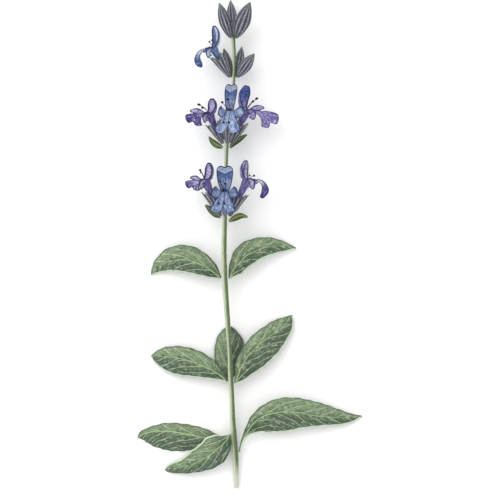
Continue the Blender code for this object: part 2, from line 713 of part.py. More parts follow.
def lobe(points, triangles, root, rows, width, place):
    """Grow one lobe from its root points; place(share, column) gives the rest of it."""
    low = root
    for i in range(1, rows + 1):
        high = []
        for j in range(width):
            high.append(len(points))
            points.append(place(i / rows, j))
        triangles += strip_triangles(high, low)
        low = high


def make_corolla(name, shape, material):
    """A two-lipped flower: tube, hood, broad middle lobe and two side lobes in one sheet."""
    points = []
    triangles = []
    rows = []
    length = shape["tube"] - TUBE_START
    for i in range(TUBE_ROWS + 1):
        share = i / TUBE_ROWS
        row = []
        for angle in RING_ANGLES:
            row.append(len(points))
            radius = shape["throat"] * profile(TUBE_PROFILE, share)
            points.append(ring_point(TUBE_START + length * share, radius, angle))
        rows.append(row)
    for low, high in zip(rows, rows[1:]):
        triangles += strip_triangles(high + high[:1], low + low[:1])
    cap(points, triangles, rows[0], TUBE_START)
    throat = rows[-1]
    hood = throat[0:7]
    left_side = throat[6:9]
    lip = throat[8:13]
    right_side = throat[12:14] + throat[0:1]
    lobe(points, triangles, hood, HOOD_ROWS, 7,
         lambda share, j: hood_point(shape, share, HOOD_ANGLES[j]))
    lobe(points, triangles, lip, LIP_ROWS, 5,
         lambda share, j: lip_point(shape, share, (j - 2) / 2))
    lobe(points, triangles, left_side, SIDE_ROWS, 3,
         lambda share, j: side_point(shape, share, j - 1.0, 1.0))
    lobe(points, triangles, right_side, SIDE_ROWS, 3,
         lambda share, j: side_point(shape, share, 1.0 - j, -1.0))
    corolla = mesh_object(name, points, triangles, material)
    corolla.matrix_world = flower_matrix(shape, FLOWER_OFFSET)
    thicken(corolla, PETAL, 0.0)
    return corolla


def thread_body(name, stations, shape, material):
    """A thin round thread through its stations, placed with its flower."""
    ring = [(math.radians(360 * k / THREAD_SIDES), 1.0) for k in range(THREAD_SIDES)]
    stamens = sweep(name, stations, ring, material)
    stamens.matrix_world = flower_matrix(shape, FLOWER_OFFSET)
    return stamens


def make_stamens(name, shape, material):
    """Two stamens on one bent thread that starts inside the throat, each with its anther."""
    throat = shape["tube"]
    lean = shape["sweep"]
    half = []
    other = []
    for x, past, z, radius in STAMEN:
        if past > 0.0:
            past = past * shape["thread"]
            z = z * shape["rise"]
        drift = lean * max(past, 0.0) / STAMEN_REACH
        half.append((x + drift, throat + past, z, radius))
        beyond = max(past, 0.0) / STAMEN_REACH
        past -= shape["shorter"] * beyond
        z -= shape["lower"] * beyond
        other.append((drift - x, throat + past, z, radius))
    stations = []
    for x, y, z, radius in half[::-1] + other[1:]:
        stations.append((np.array((x, y, z)), radius))
    return thread_body(name, stations, shape, material)


def make_lip_stamens(name, shape, pair, material):
    """Two more stamens on one thread that comes out of the throat and hangs over the lip."""
    first = math.radians(shape["lip_start"])
    last = math.radians(pair["end"])
    arc = shape["lip"] / math.radians(shape["lip_end"] - shape["lip_start"])
    middle = (-arc * math.sin(first), shape["throat"] + arc * math.cos(first))
    reach = arc + LIP_STAMEN_GAP
    halves = []
    for hand in (1, -1):
        half = []
        for x, past, z in LIP_STAMEN_ROOT:
            half.append((hand * x, past, z, THREAD))
        for i in range(LIP_STAMEN_STEPS + 1):
            share = i / LIP_STAMEN_STEPS
            heading = first + (last - first) * share
            apart = LIP_STAMEN_APART + (pair["apart"] - LIP_STAMEN_APART) * share
            x = pair["sweep"] * share + hand * apart
            along = middle[0] + reach * math.sin(heading)
            outward = middle[1] - reach * math.cos(heading)
            half.append((x, along, outward, THREAD))
        for further, factor in ANTHER_TIP[1:]:
            turn = last + further / reach
            along = middle[0] + reach * math.sin(turn)
            outward = middle[1] - reach * math.cos(turn)
            half.append((x, along, outward, THREAD * factor))
        halves.append(half)
    stations = []
    for x, past, z, radius in halves[0][::-1] + halves[1][1:]:
        stations.append((np.array((x, shape["tube"] + past, z)), radius))
    return thread_body(name, stations, shape, material)


def main():
    clear_scene()
    leaf = leaf_green()
    bract = bract_green()
    calyx = calyx_grey_purple()
    blue = petal_blue()
    purple = petal_purple()
    dark = anther_dark()
    make_stem(stem_green())
    for name, shape in LEAVES.items():
        make_blade(name, shape, LEAF_ROW, LEAF_SIDE_STEPS, leaf)
    for name, shape in BRACTS.items():
        make_blade(name, shape, BRACT_ROW, BRACT_SIDE_STEPS, bract)
    for name, shape in FLOWERS.items():
        make_calyx("calyx_" + name, shape, calyx)
        make_corolla("corolla_" + name, shape, blue if name in BLUE_FLOWERS else purple)
        make_stamens("stamens_" + name, shape, dark)
    for name, pair in LIP_STAMENS.items():
        make_lip_stamens("stamens_" + name + "_front", FLOWERS[name], pair, dark)
    for name, shape in EMPTY_CALYCES.items():
        make_calyx("calyx_" + name, shape, calyx)
    for name, shape in BUDS.items():
        make_bud("bud_" + name, shape, calyx)


main()
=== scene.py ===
"""Looks of the cut sage sprig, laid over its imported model.

Every CAD node is replaced by a finer piece of the same form: thin veined leaves and bracts,
ribbed calyces, two-lipped corollas, stamens, the stem, and the down on stem and calyces.
Plain numbers are millimetres and degrees; the pieces are built in metres in the row frame.
The sprig lies along +Y, and the camera looks straight down on it.
"""

import math

import bpy
import numpy as np
from mathutils import Matrix, Vector


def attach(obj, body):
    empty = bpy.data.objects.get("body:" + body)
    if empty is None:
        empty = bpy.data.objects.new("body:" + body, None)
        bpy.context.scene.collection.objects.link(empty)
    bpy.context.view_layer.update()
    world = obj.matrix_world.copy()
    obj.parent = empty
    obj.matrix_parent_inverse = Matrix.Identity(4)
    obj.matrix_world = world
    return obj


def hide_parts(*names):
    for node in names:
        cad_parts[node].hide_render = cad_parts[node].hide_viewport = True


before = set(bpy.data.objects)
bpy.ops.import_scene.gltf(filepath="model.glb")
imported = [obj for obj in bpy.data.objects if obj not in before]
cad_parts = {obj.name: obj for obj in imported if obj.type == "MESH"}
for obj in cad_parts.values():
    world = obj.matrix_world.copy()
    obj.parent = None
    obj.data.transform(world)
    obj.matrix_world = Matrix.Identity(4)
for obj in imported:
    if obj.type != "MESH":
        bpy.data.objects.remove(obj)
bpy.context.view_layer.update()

MM = 0.001
Y_AXIS = np.array((0.0, 1.0, 0.0))
CLEARANCE = 0.3
FLOWER_OFFSET = CLEARANCE + 1.0
BUD_OFFSET = CLEARANCE + 0.9

# The camera stands far off with a long lens; one picture pixel is half a millimetre.
CAMERA_HEIGHT = 2500.0
CAMERA_PLACE = (0.0, -2.8)
PICTURE_WIDTH = 250.0
FOCUS_HEIGHT = 8.0
SENSOR = 36.0
CAMERA_FAR_END = 20000.0

# The stem: x, y, height of its middle, half width.
STEM = [
    (-6.9, -121.8, 1.4, 1.25),
    (-7.2, -108.0, 2.8, 1.5),
    (-7.9, -98.0, 3.7, 1.6),
    (-8.6, -88.0, 4.5, 1.4),
    (-9.1, -75.0, 5.6, 1.3),
    (-9.6, -68.0, 6.2, 1.4),
    (-10.3, -53.0, 7.2, 1.1),
    (-11.2, -38.0, 8.0, 1.4),
    (-12.2, -24.0, 8.7, 1.5),
    (-12.9, -8.0, 9.6, 1.4),
    (-12.9, 3.0, 10.1, 1.4),
    (-12.6, 12.0, 10.5, 1.2),
    (-12.2, 25.0, 10.9, 0.9),
    (-11.7, 47.0, 11.0, 1.0),
    (-10.3, 62.0, 10.8, 0.85),
    (-8.4, 79.0, 10.3, 0.85),
    (-7.8, 92.0, 9.9, 0.8),
    (-8.4, 104.0, 9.5, 1.1),
]
STEM_ROW = 0.8
STEM_SIDES = 32
STEM_FACE = 0.9
STEM_CORNER = 0.17
# Each end of the stem is closed by rings of these shares of its last ring.
STEM_END_RINGS = (1.0, 0.8, 0.5, 0.0)

# A leaf: stations from its base to its tip, each with x, y, and the width to the left and to
# the right of the midrib, then the midrib's height at the base, the middle and the tip, how
# far the margins droop, and how far (crown) each half bulges up beside the midrib.  The pale
# margin is on the left (1), on the right (-1) or on neither side (0); the half painted lit
# (light), with the other half painted in shade, is the left one (1) or the right one (-1).
LEAVES = {
    "leaf_upper_left": dict(
        stations=[
            (-14.75, -17.0, 0.5, 0.5), (-18.5, -13.8, 3.6, 3.3), (-23.5, -10.6, 5.5, 5.5),
            (-31.5, -7.8, 6.4, 7.2), (-39.0, -8.1, 5.4, 6.5), (-44.5, -10.6, 3.6, 4.1),
            (-47.3, -13.1, 1.8, 2.3), (-49.3, -15.3, 0.3, 0.3),
        ],
        heights=(8.6, 8.4, 0.4), droop=2.2, crown=0.9, pale=1, light=-1,
    ),
    "leaf_upper_right": dict(
        stations=[
            (-10.15, -17.1, 0.5, 0.5), (-8.3, -12.6, 2.4, 4.4), (-5.0, -8.8, 5.2, 5.0),
            (-1.0, -5.1, 6.3, 5.6), (5.0, -2.3, 5.7, 4.9), (12.0, -0.8, 3.9, 4.1),
            (18.0, -1.0, 1.8, 2.6), (23.0, -2.1, 0.3, 0.3),
        ],
        heights=(8.8, 8.6, 1.4), droop=1.9, crown=0.9, pale=-1, light=1,
    ),
    "leaf_middle_left": dict(
        stations=[
            (-11.8, -68.6, 0.5, 0.5), (-15.0, -65.5, 2.8, 2.4), (-21.5, -61.8, 5.7, 5.1),
            (-27.5, -59.3, 7.4, 6.2), (-34.0, -57.3, 8.6, 6.1), (-40.5, -56.3, 7.7, 5.1),
            (-45.5, -56.0, 5.1, 3.3), (-47.8, -56.0, 3.0, 1.5), (-49.5, -56.0, 0.3, 0.3),
        ],
        heights=(6.2, 6.6, 0.4), droop=2.0, crown=0.9, pale=1, light=-1,
    ),
    "leaf_middle_back": dict(
        stations=[
            (-10.2, -69.0, 0.5, 0.5), (-10.5, -64.8, 3.5, 3.5), (-10.5, -58.8, 6.9, 6.9),
            (-10.5, -52.8, 7.2, 7.8), (-10.3, -47.8, 6.4, 6.7), (-10.2, -44.8, 5.0, 4.8),
            (-10.1, -42.6, 3.1, 2.8), (-10.0, -41.2, 0.6, 0.6),
        ],
        heights=(3.7, 2.9, 1.2), droop=0.6, crown=0.5, pale=0, light=1,
    ),
    "leaf_middle_right": dict(
        stations=[
            (-7.45, -69.4, 0.5, 0.5), (-6.3, -66.3, 1.1, 4.0), (-4.4, -61.3, 3.2, 7.4),
            (-1.0, -55.8, 4.3, 9.6), (4.5, -50.1, 5.5, 10.0), (10.0, -45.8, 5.4, 9.0),
            (15.5, -41.8, 4.9, 6.2), (19.0, -38.3, 2.6, 3.6), (21.2, -35.7, 0.3, 0.3),
        ],
        heights=(6.6, 7.6, 1.0), droop=1.8, crown=0.9, pale=-1, light=1,
    ),
    "leaf_lower_left_back": dict(
        stations=[
            (-10.2, -98.5, 0.5, 0.5), (-15.5, -97.8, 2.2, 2.0), (-22.5, -96.8, 5.0, 4.2),
            (-30.0, -95.5, 8.0, 4.9), (-37.0, -94.2, 9.5, 4.6), (-43.5, -93.6, 9.1, 3.8),
            (-50.0, -94.1, 7.0, 2.5), (-54.0, -95.3, 4.0, 1.7), (-56.2, -96.8, 0.4, 0.4),
        ],
        heights=(3.4, -0.2, -0.2), droop=0.0, crown=0.4, pale=0, light=-1,
    ),
    "leaf_lower_left_front": dict(
        stations=[
            (-10.2, -94.9, 0.5, 0.5), (-12.2, -98.5, 3.6, 5.0), (-16.5, -102.6, 6.6, 7.8),
            (-21.5, -106.3, 6.5, 7.1), (-27.0, -109.3, 4.8, 6.4), (-33.0, -111.3, 3.4, 4.1),
            (-38.0, -112.2, 2.3, 3.0), (-41.0, -112.6, 1.5, 2.0), (-42.6, -112.7, 0.4, 0.4),
        ],
        heights=(6.9, 5.6, 0.4), droop=0.9, crown=0.8, pale=-1, light=-1,
    ),
    "leaf_lower_right": dict(
        stations=[
            (-5.25, -104.0, 0.5, 0.5), (-4.0, -99.3, 0.7, 0.7), (-1.8, -94.6, 1.4, 1.8),
            (0.5, -91.1, 2.2, 4.8), (3.5, -87.8, 3.5, 8.0), (8.5, -85.2, 5.2, 9.4),
            (15.0, -83.8, 6.7, 10.2), (22.5, -83.8, 7.0, 9.4), (30.0, -85.3, 7.0, 6.6),
            (37.5, -86.3, 6.0, 4.7), (45.0, -86.6, 3.7, 4.0), (51.0, -86.6, 1.6, 2.6),
            (56.2, -86.3, 0.3, 0.3),
        ],
        heights=(3.9, 8.2, 0.4), droop=2.4, crown=1.0, pale=-1, light=1,
    ),
}
BLADE = 0.6
LEAF_THICKNESS = 0.4
LEAF_ROW = 0.45
LEAF_HALF_COLUMNS = 24
# A blade's columns crowd towards its midrib by this power.
COLUMN_CROWDING = 1.25
SCALLOP = 0.14
SCALLOP_LENGTH = 5.6
SCALLOP_FADE = 3.0
SCALLOP_POWER = 4
CRENULATION = 0.05
CRENULATION_LENGTH = 1.9
CRENULATION_POWER = 12
HEADING_STEP = 0.3

# Side veins leave the midrib every so many millimetres and sweep forward as they go out; a
# length along the midrib is this share (lean) of it when measured across a vein.  One side's
# veins start a share (stagger) of the spacing after the other's, and all sway by another share.
VEIN_SPACING = 9.0
BRACT_VEIN_SPACING = 2.6
VEIN_STAGGER = 0.45
VEIN_SWAY = 0.6
VEIN_FORWARD = 2.4
VEIN_CURVE = 0.05
VEIN_LEAN = 0.38
# Added to a place before it is divided into spacings, so that it is never below zero.
VEINS_BEFORE = 100
VEIN_GROOVE = 0.22
VEIN_GROOVE_WIDTH = 0.7
MIDRIB_GROOVE = 0.3
PUCKER = 0.1
PUCKER_LENGTH = 2.3
PUCKER_SLANTS = (0.6, 0.35)
GROOVE_FADE = 1.5
# Width of the dark line along a plain margin.
LEAF_LINE = 0.75
BRACT_LINE = 0.4

# A bract's halves are painted lit and in shade as a leaf's are, with light naming the lit half.
BRACTS = {
    "bract_lower_left_upper": dict(
        stations=[(-15.2, 16.4, 0.5, 0.5), (-17.0, 18.9, 1.3, 1.3), (-19.5, 21.5, 1.1, 1.1),
                  (-21.5, 23.2, 0.3, 0.3)],
        heights=(9.0, 7.0, 5.2), slope=0.5, pale=0, light=1,
    ),
    "bract_lower_left": dict(
        stations=[(-14.8, 13.4, 0.5, 0.5), (-17.3, 15.3, 1.7, 1.5), (-20.1, 17.8, 1.5, 1.3),
                  (-22.4, 19.6, 0.3, 0.3)],
        heights=(10.4, 10.2, 8.6), slope=0.6, pale=0, light=1,
    ),
    "bract_lower_right": dict(
        stations=[(-10.3, 15.3, 0.5, 0.5), (-8.3, 17.0, 1.3, 1.3), (-6.4, 18.8, 1.2, 1.2),
                  (-5.0, 20.7, 0.3, 0.3)],
        heights=(9.2, 8.2, 7.6), slope=-0.4, pale=0, light=1,
    ),
    "bract_lower_right_small": dict(
        stations=[(-10.5, 11.5, 0.5, 0.5), (-7.4, 13.2, 1.4, 1.5), (-4.5, 14.2, 1.4, 1.3),
                  (-1.2, 13.7, 0.3, 0.3)],
        heights=(10.6, 10.8, 9.8), slope=-0.3, pale=0, light=1,
    ),
    "bract_upper_left": dict(
        stations=[(-13.6, 48.2, 0.5, 0.5), (-16.2, 49.6, 1.7, 1.2), (-18.7, 51.4, 1.4, 1.1),
                  (-20.5, 53.7, 0.3, 0.3)],
        heights=(11.2, 10.8, 9.0), slope=0.6, pale=0, light=1,
    ),
    "bract_upper_right": dict(
        stations=[(-9.9, 48.2, 0.5, 0.5), (-7.7, 50.8, 1.3, 1.4), (-4.9, 52.8, 1.2, 1.3),
                  (-1.5, 54.8, 0.3, 0.3)],
        heights=(10.2, 9.7, 8.8), slope=-0.5, pale=0, light=1,
    ),
}
BRACT_CROWN = 0.2
BRACT_ROW = 0.3
BRACT_HALF_COLUMNS = 10

WHORLS = {"lower": 14.2, "upper": 50.4, "top": 83.6, "tip": 103.3}

# An open flower: its whorl, where it stands around the stem (0 is to the right, 90 is up from
# the table), how far it spreads from the stem, its calyx, tube, hood and lip lengths, and the
# radius of its throat.  The hood has a lean, a width, a roll round its own length and a form.
# The lip turns from its first to its last angle over a share (bend) of its length, and has a
# width, a roll and a drift to one side.  The side lobes have a form each.  The stamens have a
# length (thread) and a rise as shares of the usual one, one is shorter and lower than the other,
# and both sweep to one side.
FLOWERS = {
    "lower_left": dict(
        whorl="lower", around=158, spread=24.5, calyx=14.5, tube=19.6, throat=2.4, hood=9.0, lean=-54,
        hood_width=2.8, hood_roll=32, hood_form="oval", lip=6.9, lip_start=64, lip_end=138,
        lip_bend=1.0, lip_width=4.5, lip_roll=-75, lip_drift=0.0, lip_form="fan",
        sides=("hanging", "raised"), thread=0.86, rise=0.3, shorter=1.6, lower=0.9, sweep=0.0,
    ),
    "lower_centre": dict(
        whorl="lower", around=90, spread=27, calyx=10.5, tube=14.0, throat=2.0, hood=13.4, lean=-20,
        hood_width=4.0, hood_roll=0, hood_form="broad", lip=16.4, lip_start=50, lip_end=190,
        lip_bend=1.0, lip_width=6.6, lip_roll=0, lip_drift=-1.1, lip_form="broad",
        sides=("broad", "broad"), thread=0.78, rise=1.0, shorter=-1.5, lower=0.0, sweep=-1.2,
    ),
    "lower_right": dict(
        whorl="lower", around=14, spread=27, calyx=13.5, tube=20.3, throat=2.4, hood=9.8, lean=-48,
        hood_width=2.8, hood_roll=-32, hood_form="oval", lip=13.6, lip_start=36, lip_end=184,
        lip_bend=0.85, lip_width=2.3, lip_roll=55, lip_drift=0.0, lip_form="arched",
        sides=("small", "hanging"), thread=0.46, rise=0.6, shorter=1.2, lower=2.8, sweep=0.0,
    ),
    "upper_left": dict(
        whorl="upper", around=160, spread=26, calyx=12.0, tube=16.6, throat=2.4, hood=7.7, lean=-54,
        hood_width=2.9, hood_roll=34, hood_form="oval", lip=8.8, lip_start=62, lip_end=134,
        lip_bend=1.0, lip_width=5.2, lip_roll=-75, lip_drift=0.0, lip_form="fan",
        sides=("hanging", "long"), thread=0.93, rise=1.1, shorter=2.3, lower=1.7, sweep=0.0,
    ),
    "upper_centre": dict(
        whorl="upper", around=81, spread=23, calyx=11.0, tube=17.5, throat=2.0, hood=14.4, lean=-14,
        hood_width=3.0, hood_roll=0, hood_form="broad", lip=19.0, lip_start=50, lip_end=185,
        lip_bend=1.0, lip_width=6.6, lip_roll=0, lip_drift=-3.8, lip_form="broad",
        sides=("broad", "broad"), thread=1.05, rise=1.0, shorter=1.3, lower=0.0, sweep=-2.7,
    ),
    "upper_right": dict(
        whorl="upper", around=6, spread=24, calyx=12.5, tube=18.0, throat=2.6, hood=12.6, lean=-38,
        hood_width=4.0, hood_roll=-50, hood_form="oval", lip=13.8, lip_start=64, lip_end=134,
        lip_bend=1.0, lip_width=5.8, lip_roll=75, lip_drift=0.0, lip_form="fan",
        sides=("long", "hanging"), thread=1.1, rise=0.78, shorter=1.6, lower=0.7, sweep=0.0,
    ),
    "top_left": dict(
        whorl="top", around=165, spread=31, calyx=13.5, tube=16.8, throat=2.2, hood=11.2, lean=-50,
        hood_width=3.2, hood_roll=24, hood_form="oval", lip=12.8, lip_start=44, lip_end=182,
        lip_bend=0.85, lip_width=2.2, lip_roll=-55, lip_drift=0.0, lip_form="arched",
        sides=("hanging", "small"), thread=0.55, rise=0.1, shorter=0.3, lower=3.6, sweep=0.0,
    ),
}
EMPTY_CALYCES = {
    "lower_back": dict(whorl="lower", around=270, spread=23, calyx=12.0),
    "upper_back": dict(whorl="upper", around=270, spread=24, calyx=12.5),
}
BUDS = {
    "top_left_back": dict(whorl="top", around=227, spread=20, length=15.2, radius=2.3),
    "top_right_front": dict(whorl="top", around=18, spread=37, length=14.4, radius=2.9),
    "top_right_back": dict(whorl="top", around=309, spread=16, length=15.8, radius=2.5),
    "tip_left": dict(whorl="tip", around=128, spread=28, length=19.0, radius=3.0),
    "tip_back": dict(whorl="tip", around=257, spread=11, length=19.2, radius=2.8),
    "tip_right": dict(whorl="tip", around=54, spread=35, length=20.8, radius=3.9),
}
# Calyces take the seeds before this one.
FIRST_BUD_SEED = 20

# Radius of the parts of a flower: share of the length, radius.
CALYX_PROFILE = [(0.0, 0.75), (0.1, 1.15), (0.36, 2.2), (0.62, 3.0), (0.82, 3.6), (1.0, 4.1)]
BUD_PROFILE = [(0.0, 0.2), (0.1, 0.5), (0.25, 0.77), (0.5, 1.0), (0.78, 0.68), (1.0, 0.1)]
CALYX_NOTCH = 0.76
CALYX_TEETH = 5
CALYX_RIB = 0.12
CALYX_RIB_RISE = 4.0
CALYX_FINE_RIBS = 10
CALYX_FINE_RIB = 0.09
CALYX_COLUMNS = 120
CALYX_ROWS = 40
TOOTH_POINT = 1.35
CALYX_THICKNESS = 0.35
# Past this share of a bud its seams turn green, this strongly.
BUD_SEAM_START = 0.45
BUD_SEAM = 1.6

TUBE_START = 6.2
# Tube: share of its length, share of the throat's radius.
TUBE_PROFILE = [(0.0, 0.33), (0.35, 0.5), (0.65, 0.71), (1.0, 1.0)]
TUBE_ROWS = 24
# How far across a lobe, and how far inside its edge, the whole tube counts as being.
TUBE_ACROSS = 0.5
TUBE_INWARD = 5.0
PETAL_THICKNESS = 0.3

# Numbers that tell a petal's material which lobe it is on; the tube is 0.
HOOD = 1.0
LIP = 2.0
SIDE_LOBE = 3.0
# The lobes round the tube's edge: first angle, last angle, columns.
HOOD_ARC = (-90, 90, 31)
RIGHT_ARC = (90, 135, 11)
LIP_ARC = (135, 225, 29)
LEFT_ARC = (225, 270, 11)
# Rows of each lobe, and the share of its length over which it grows out of the tube.
LOBE_ROWS = {HOOD: 30, LIP: 34, SIDE_LOBE: 18}
LOBE_BLEND = {HOOD: 0.2, LIP: 0.17, SIDE_LOBE: 0.33}

HOOD_WIDTH = {
    "oval": [(0.0, 0.9), (0.3, 1.0), (0.65, 0.95), (0.88, 0.6), (1.0, 0.26)],
    "broad": [(0.0, 0.5), (0.25, 0.78), (0.5, 0.94), (0.75, 1.0), (0.9, 0.95), (1.0, 0.7)],
}
HOOD_DEPTH = [(0.0, 1.0), (0.3, 1.15), (0.65, 1.0), (0.88, 0.55), (1.0, 0.2)]
HOOD_CURL = 34
HOOD_NOTCH = {"oval": 0.2, "broad": 0.9}
HOOD_NOTCH_ANGLE = 22.0
HOOD_HALF_WIDTH = 4.0

LIP_FORMS = {
    "fan": dict(
        width=[(0.0, 0.42), (0.25, 0.42), (0.5, 0.68), (0.75, 0.98), (1.0, 0.92)],
        notch=0.17, rounding=0.24,
    ),
    "broad": dict(
        width=[(0.0, 0.3), (0.3, 0.32), (0.5, 0.46), (0.65, 0.68), (0.85, 0.98), (1.0, 0.92)],
        notch=0.2, rounding=0.16,
    ),
    "arched": dict(
        width=[(0.0, 0.7), (0.25, 0.7), (0.5, 0.75), (0.75, 1.0), (1.0, 0.85)],
        notch=0.0, rounding=0.34,
    ),
}
LIP_NOTCH_WIDTH = 0.24
LIP_CUP = 1.0
LIP_ROOT_CUP = 0.4
LIP_RUFFLE = 0.3
LIP_RUFFLES = 3.5

# A side lobe: length, half width, first and last angle from the tube's direction, twist, and its
# turn away from the middle lobe.
SIDE_LOBES = {
    "hanging": dict(length=6.2, half=2.7, start=75, end=160, twist=70, turn=25),
    "raised": dict(length=6.2, half=1.4, start=38, end=62, twist=60, turn=20),
    "long": dict(length=8.2, half=1.6, start=38, end=68, twist=60, turn=20),
    "small": dict(length=4.0, half=1.4, start=60, end=110, twist=40, turn=25),
    "broad": dict(length=6.2, half=3.2, start=70, end=126, twist=75, turn=45),
}
SIDE_WIDTH = [(0.0, 0.6), (0.35, 1.0), (0.7, 1.0), (0.9, 0.75), (1.0, 0.45)]
SIDE_ROOT = 112.5
SIDE_ROUNDING = 0.3
SIDE_ROUND_START = 0.55
SIDE_RUFFLE = 0.2
SIDE_RUFFLES = 3

# Half of the stamens' thread: sideways, along past the throat, outwards, radius.
THREAD = 0.16
STAMEN = [
    (0.0, -2.6, -0.3, THREAD),
    (0.5, -1.2, -0.4, THREAD),
    (0.7, 1.5, 0.4, THREAD),
    (1.0, 4.0, 1.2, THREAD),
    (1.2, 6.0, 2.3, THREAD),
    (1.3, 6.5, 2.65, 0.5),
    (1.3, 6.95, 3.05, 0.62),
    (1.3, 7.4, 3.6, 0.34),
]
STAMEN_REACH = 6.0
# A second pair hangs over the middle lobe: last angle round the lobe's own arc, sweep to one
# side, and how far each stands from the middle at its end.
LIP_STAMENS = {
    "lower_centre": dict(end=140, sweep=-1.6, apart=1.4),
    "upper_centre": dict(end=138, sweep=-3.9, apart=1.3),
}
LIP_STAMEN_GAP = 1.45
LIP_STAMEN_APART = 0.5
LIP_STAMEN_STEPS = 7
LIP_STAMEN_ROOT = [(0.0, -2.2, 0.6), (0.4, -1.2, 0.75)]
# An anther at a thread's end: further along, share of the thread's radius.
ANTHER_TIP = [(0.4, 3.1), (0.9, 3.9), (1.4, 2.1)]
THREAD_LEAST = 0.06
THREAD_SIDES = 10
THREAD_STEPS = 5
# A direction that no thread runs along.
THREAD_SIDE = (0.3, 0.1, 1.0)

# Short white hairs: how many on the stem, on each calyx or bud, and along each leaf's margins.
HAIR_LENGTH = 0.55
HAIR_RADIUS = 0.035
STEM_HAIRS = 5200
CALYX_HAIRS = 420
MARGIN_HAIRS = 700
# A hair's tip is this share of its foot, and a direction that no hair points in.
HAIR_TIP = 0.1
HAIR_SIDE = (0.37, 0.61, 0.7)
# Hairs stray from the surface's own direction, lean along the sprig, and are these shares of the
# full length; a stem hair's root is just under the skin, near one of the stem's rings.
HAIR_SPREAD = 0.3
HAIR_LEAN = 0.4
HAIR_SHARES = (0.5, 1.0)
STEM_HAIR_SPREAD = 0.25
STEM_HAIR_LEAN = -0.5
STEM_HAIR_SHARES = (0.5, 1.1)
HAIR_RINGS = 400
HAIR_SHIFT = 0.3
HAIR_ROOT = 0.97
# A point is on a leaf's margin from this share of the way across.
MARGIN = 0.995

FLOOR_HALF = 3000.0
STUDIO_LIGHT = 1.1
KEY_PLACE = (-1100.0, 1000.0, 1500.0)
KEY_SIZE = 1800.0
KEY_POWER = 16.0

# A white surface that faces up is this bright, so the colours below are divided by it.
LIGHT_LEVEL = 1.25


def srgb(red, green, blue):
    """A colour as it is seen under this light, 0 to 255, as the shader's linear values."""
    values = []
    for part in (red, green, blue):
        share = part / 255
        linear = share / 12.92 if share <= 0.04045 else ((share + 0.055) / 1.055) ** 2.4
        values.append(linear / LIGHT_LEVEL)
    return (*values, 1.0)


# Colours as they are seen.
# The first colour paints a leaf's lit half and the second its half in shade, which is also its
# underside's dark grain.
LEAF_LIT_HALF = srgb(138, 159, 123)
LEAF_SHADED_HALF_AND_UNDER_GRAIN = srgb(92, 112, 90)
LEAF_UNDER = srgb(158, 174, 150)
LEAF_FLECK = srgb(196, 208, 190)
LEAF_SHADE = srgb(52, 70, 56)
LEAF_VEIN = srgb(196, 203, 165)
LEAF_MIDRIB = srgb(176, 205, 146)
LEAF_EDGE = srgb(74, 98, 74)
LEAF_RIM = srgb(208, 226, 202)
# The first colour paints a bract's lit half and its underside, the second its half in shade.
BRACT_LIT_HALF_AND_UNDERSIDE = srgb(112, 134, 74)
BRACT_SHADED_HALF = srgb(70, 92, 48)
BRACT_VEIN = srgb(160, 176, 122)
# The stem's pale colour also paints its lit left side, and its dark colour its right side in shade.
STEM_PALE = srgb(204, 213, 186)
STEM_GREEN = srgb(134, 154, 104)
STEM_DARK = srgb(88, 108, 72)
STEM_OUTLINE = srgb(108, 118, 100)
STEM_CUT = srgb(226, 230, 214)
CALYX_BASE = srgb(110, 110, 126)
CALYX_GROOVE = srgb(62, 60, 80)
CALYX_RIDGE = srgb(190, 192, 202)
CALYX_GREEN = srgb(112, 132, 108)
CALYX_VIOLET = srgb(124, 130, 182)
VIOLET_CALYX = "lower_centre"
ANTHER = srgb(26, 26, 48)
FILAMENT = srgb(44, 44, 78)
DOWN = srgb(226, 232, 222)

# The paper's two tones, as the shader's linear values.
FLOOR_DARK = (0.93, 0.93, 0.93, 1.0)
FLOOR_LIGHT = (0.96, 0.96, 0.955, 1.0)

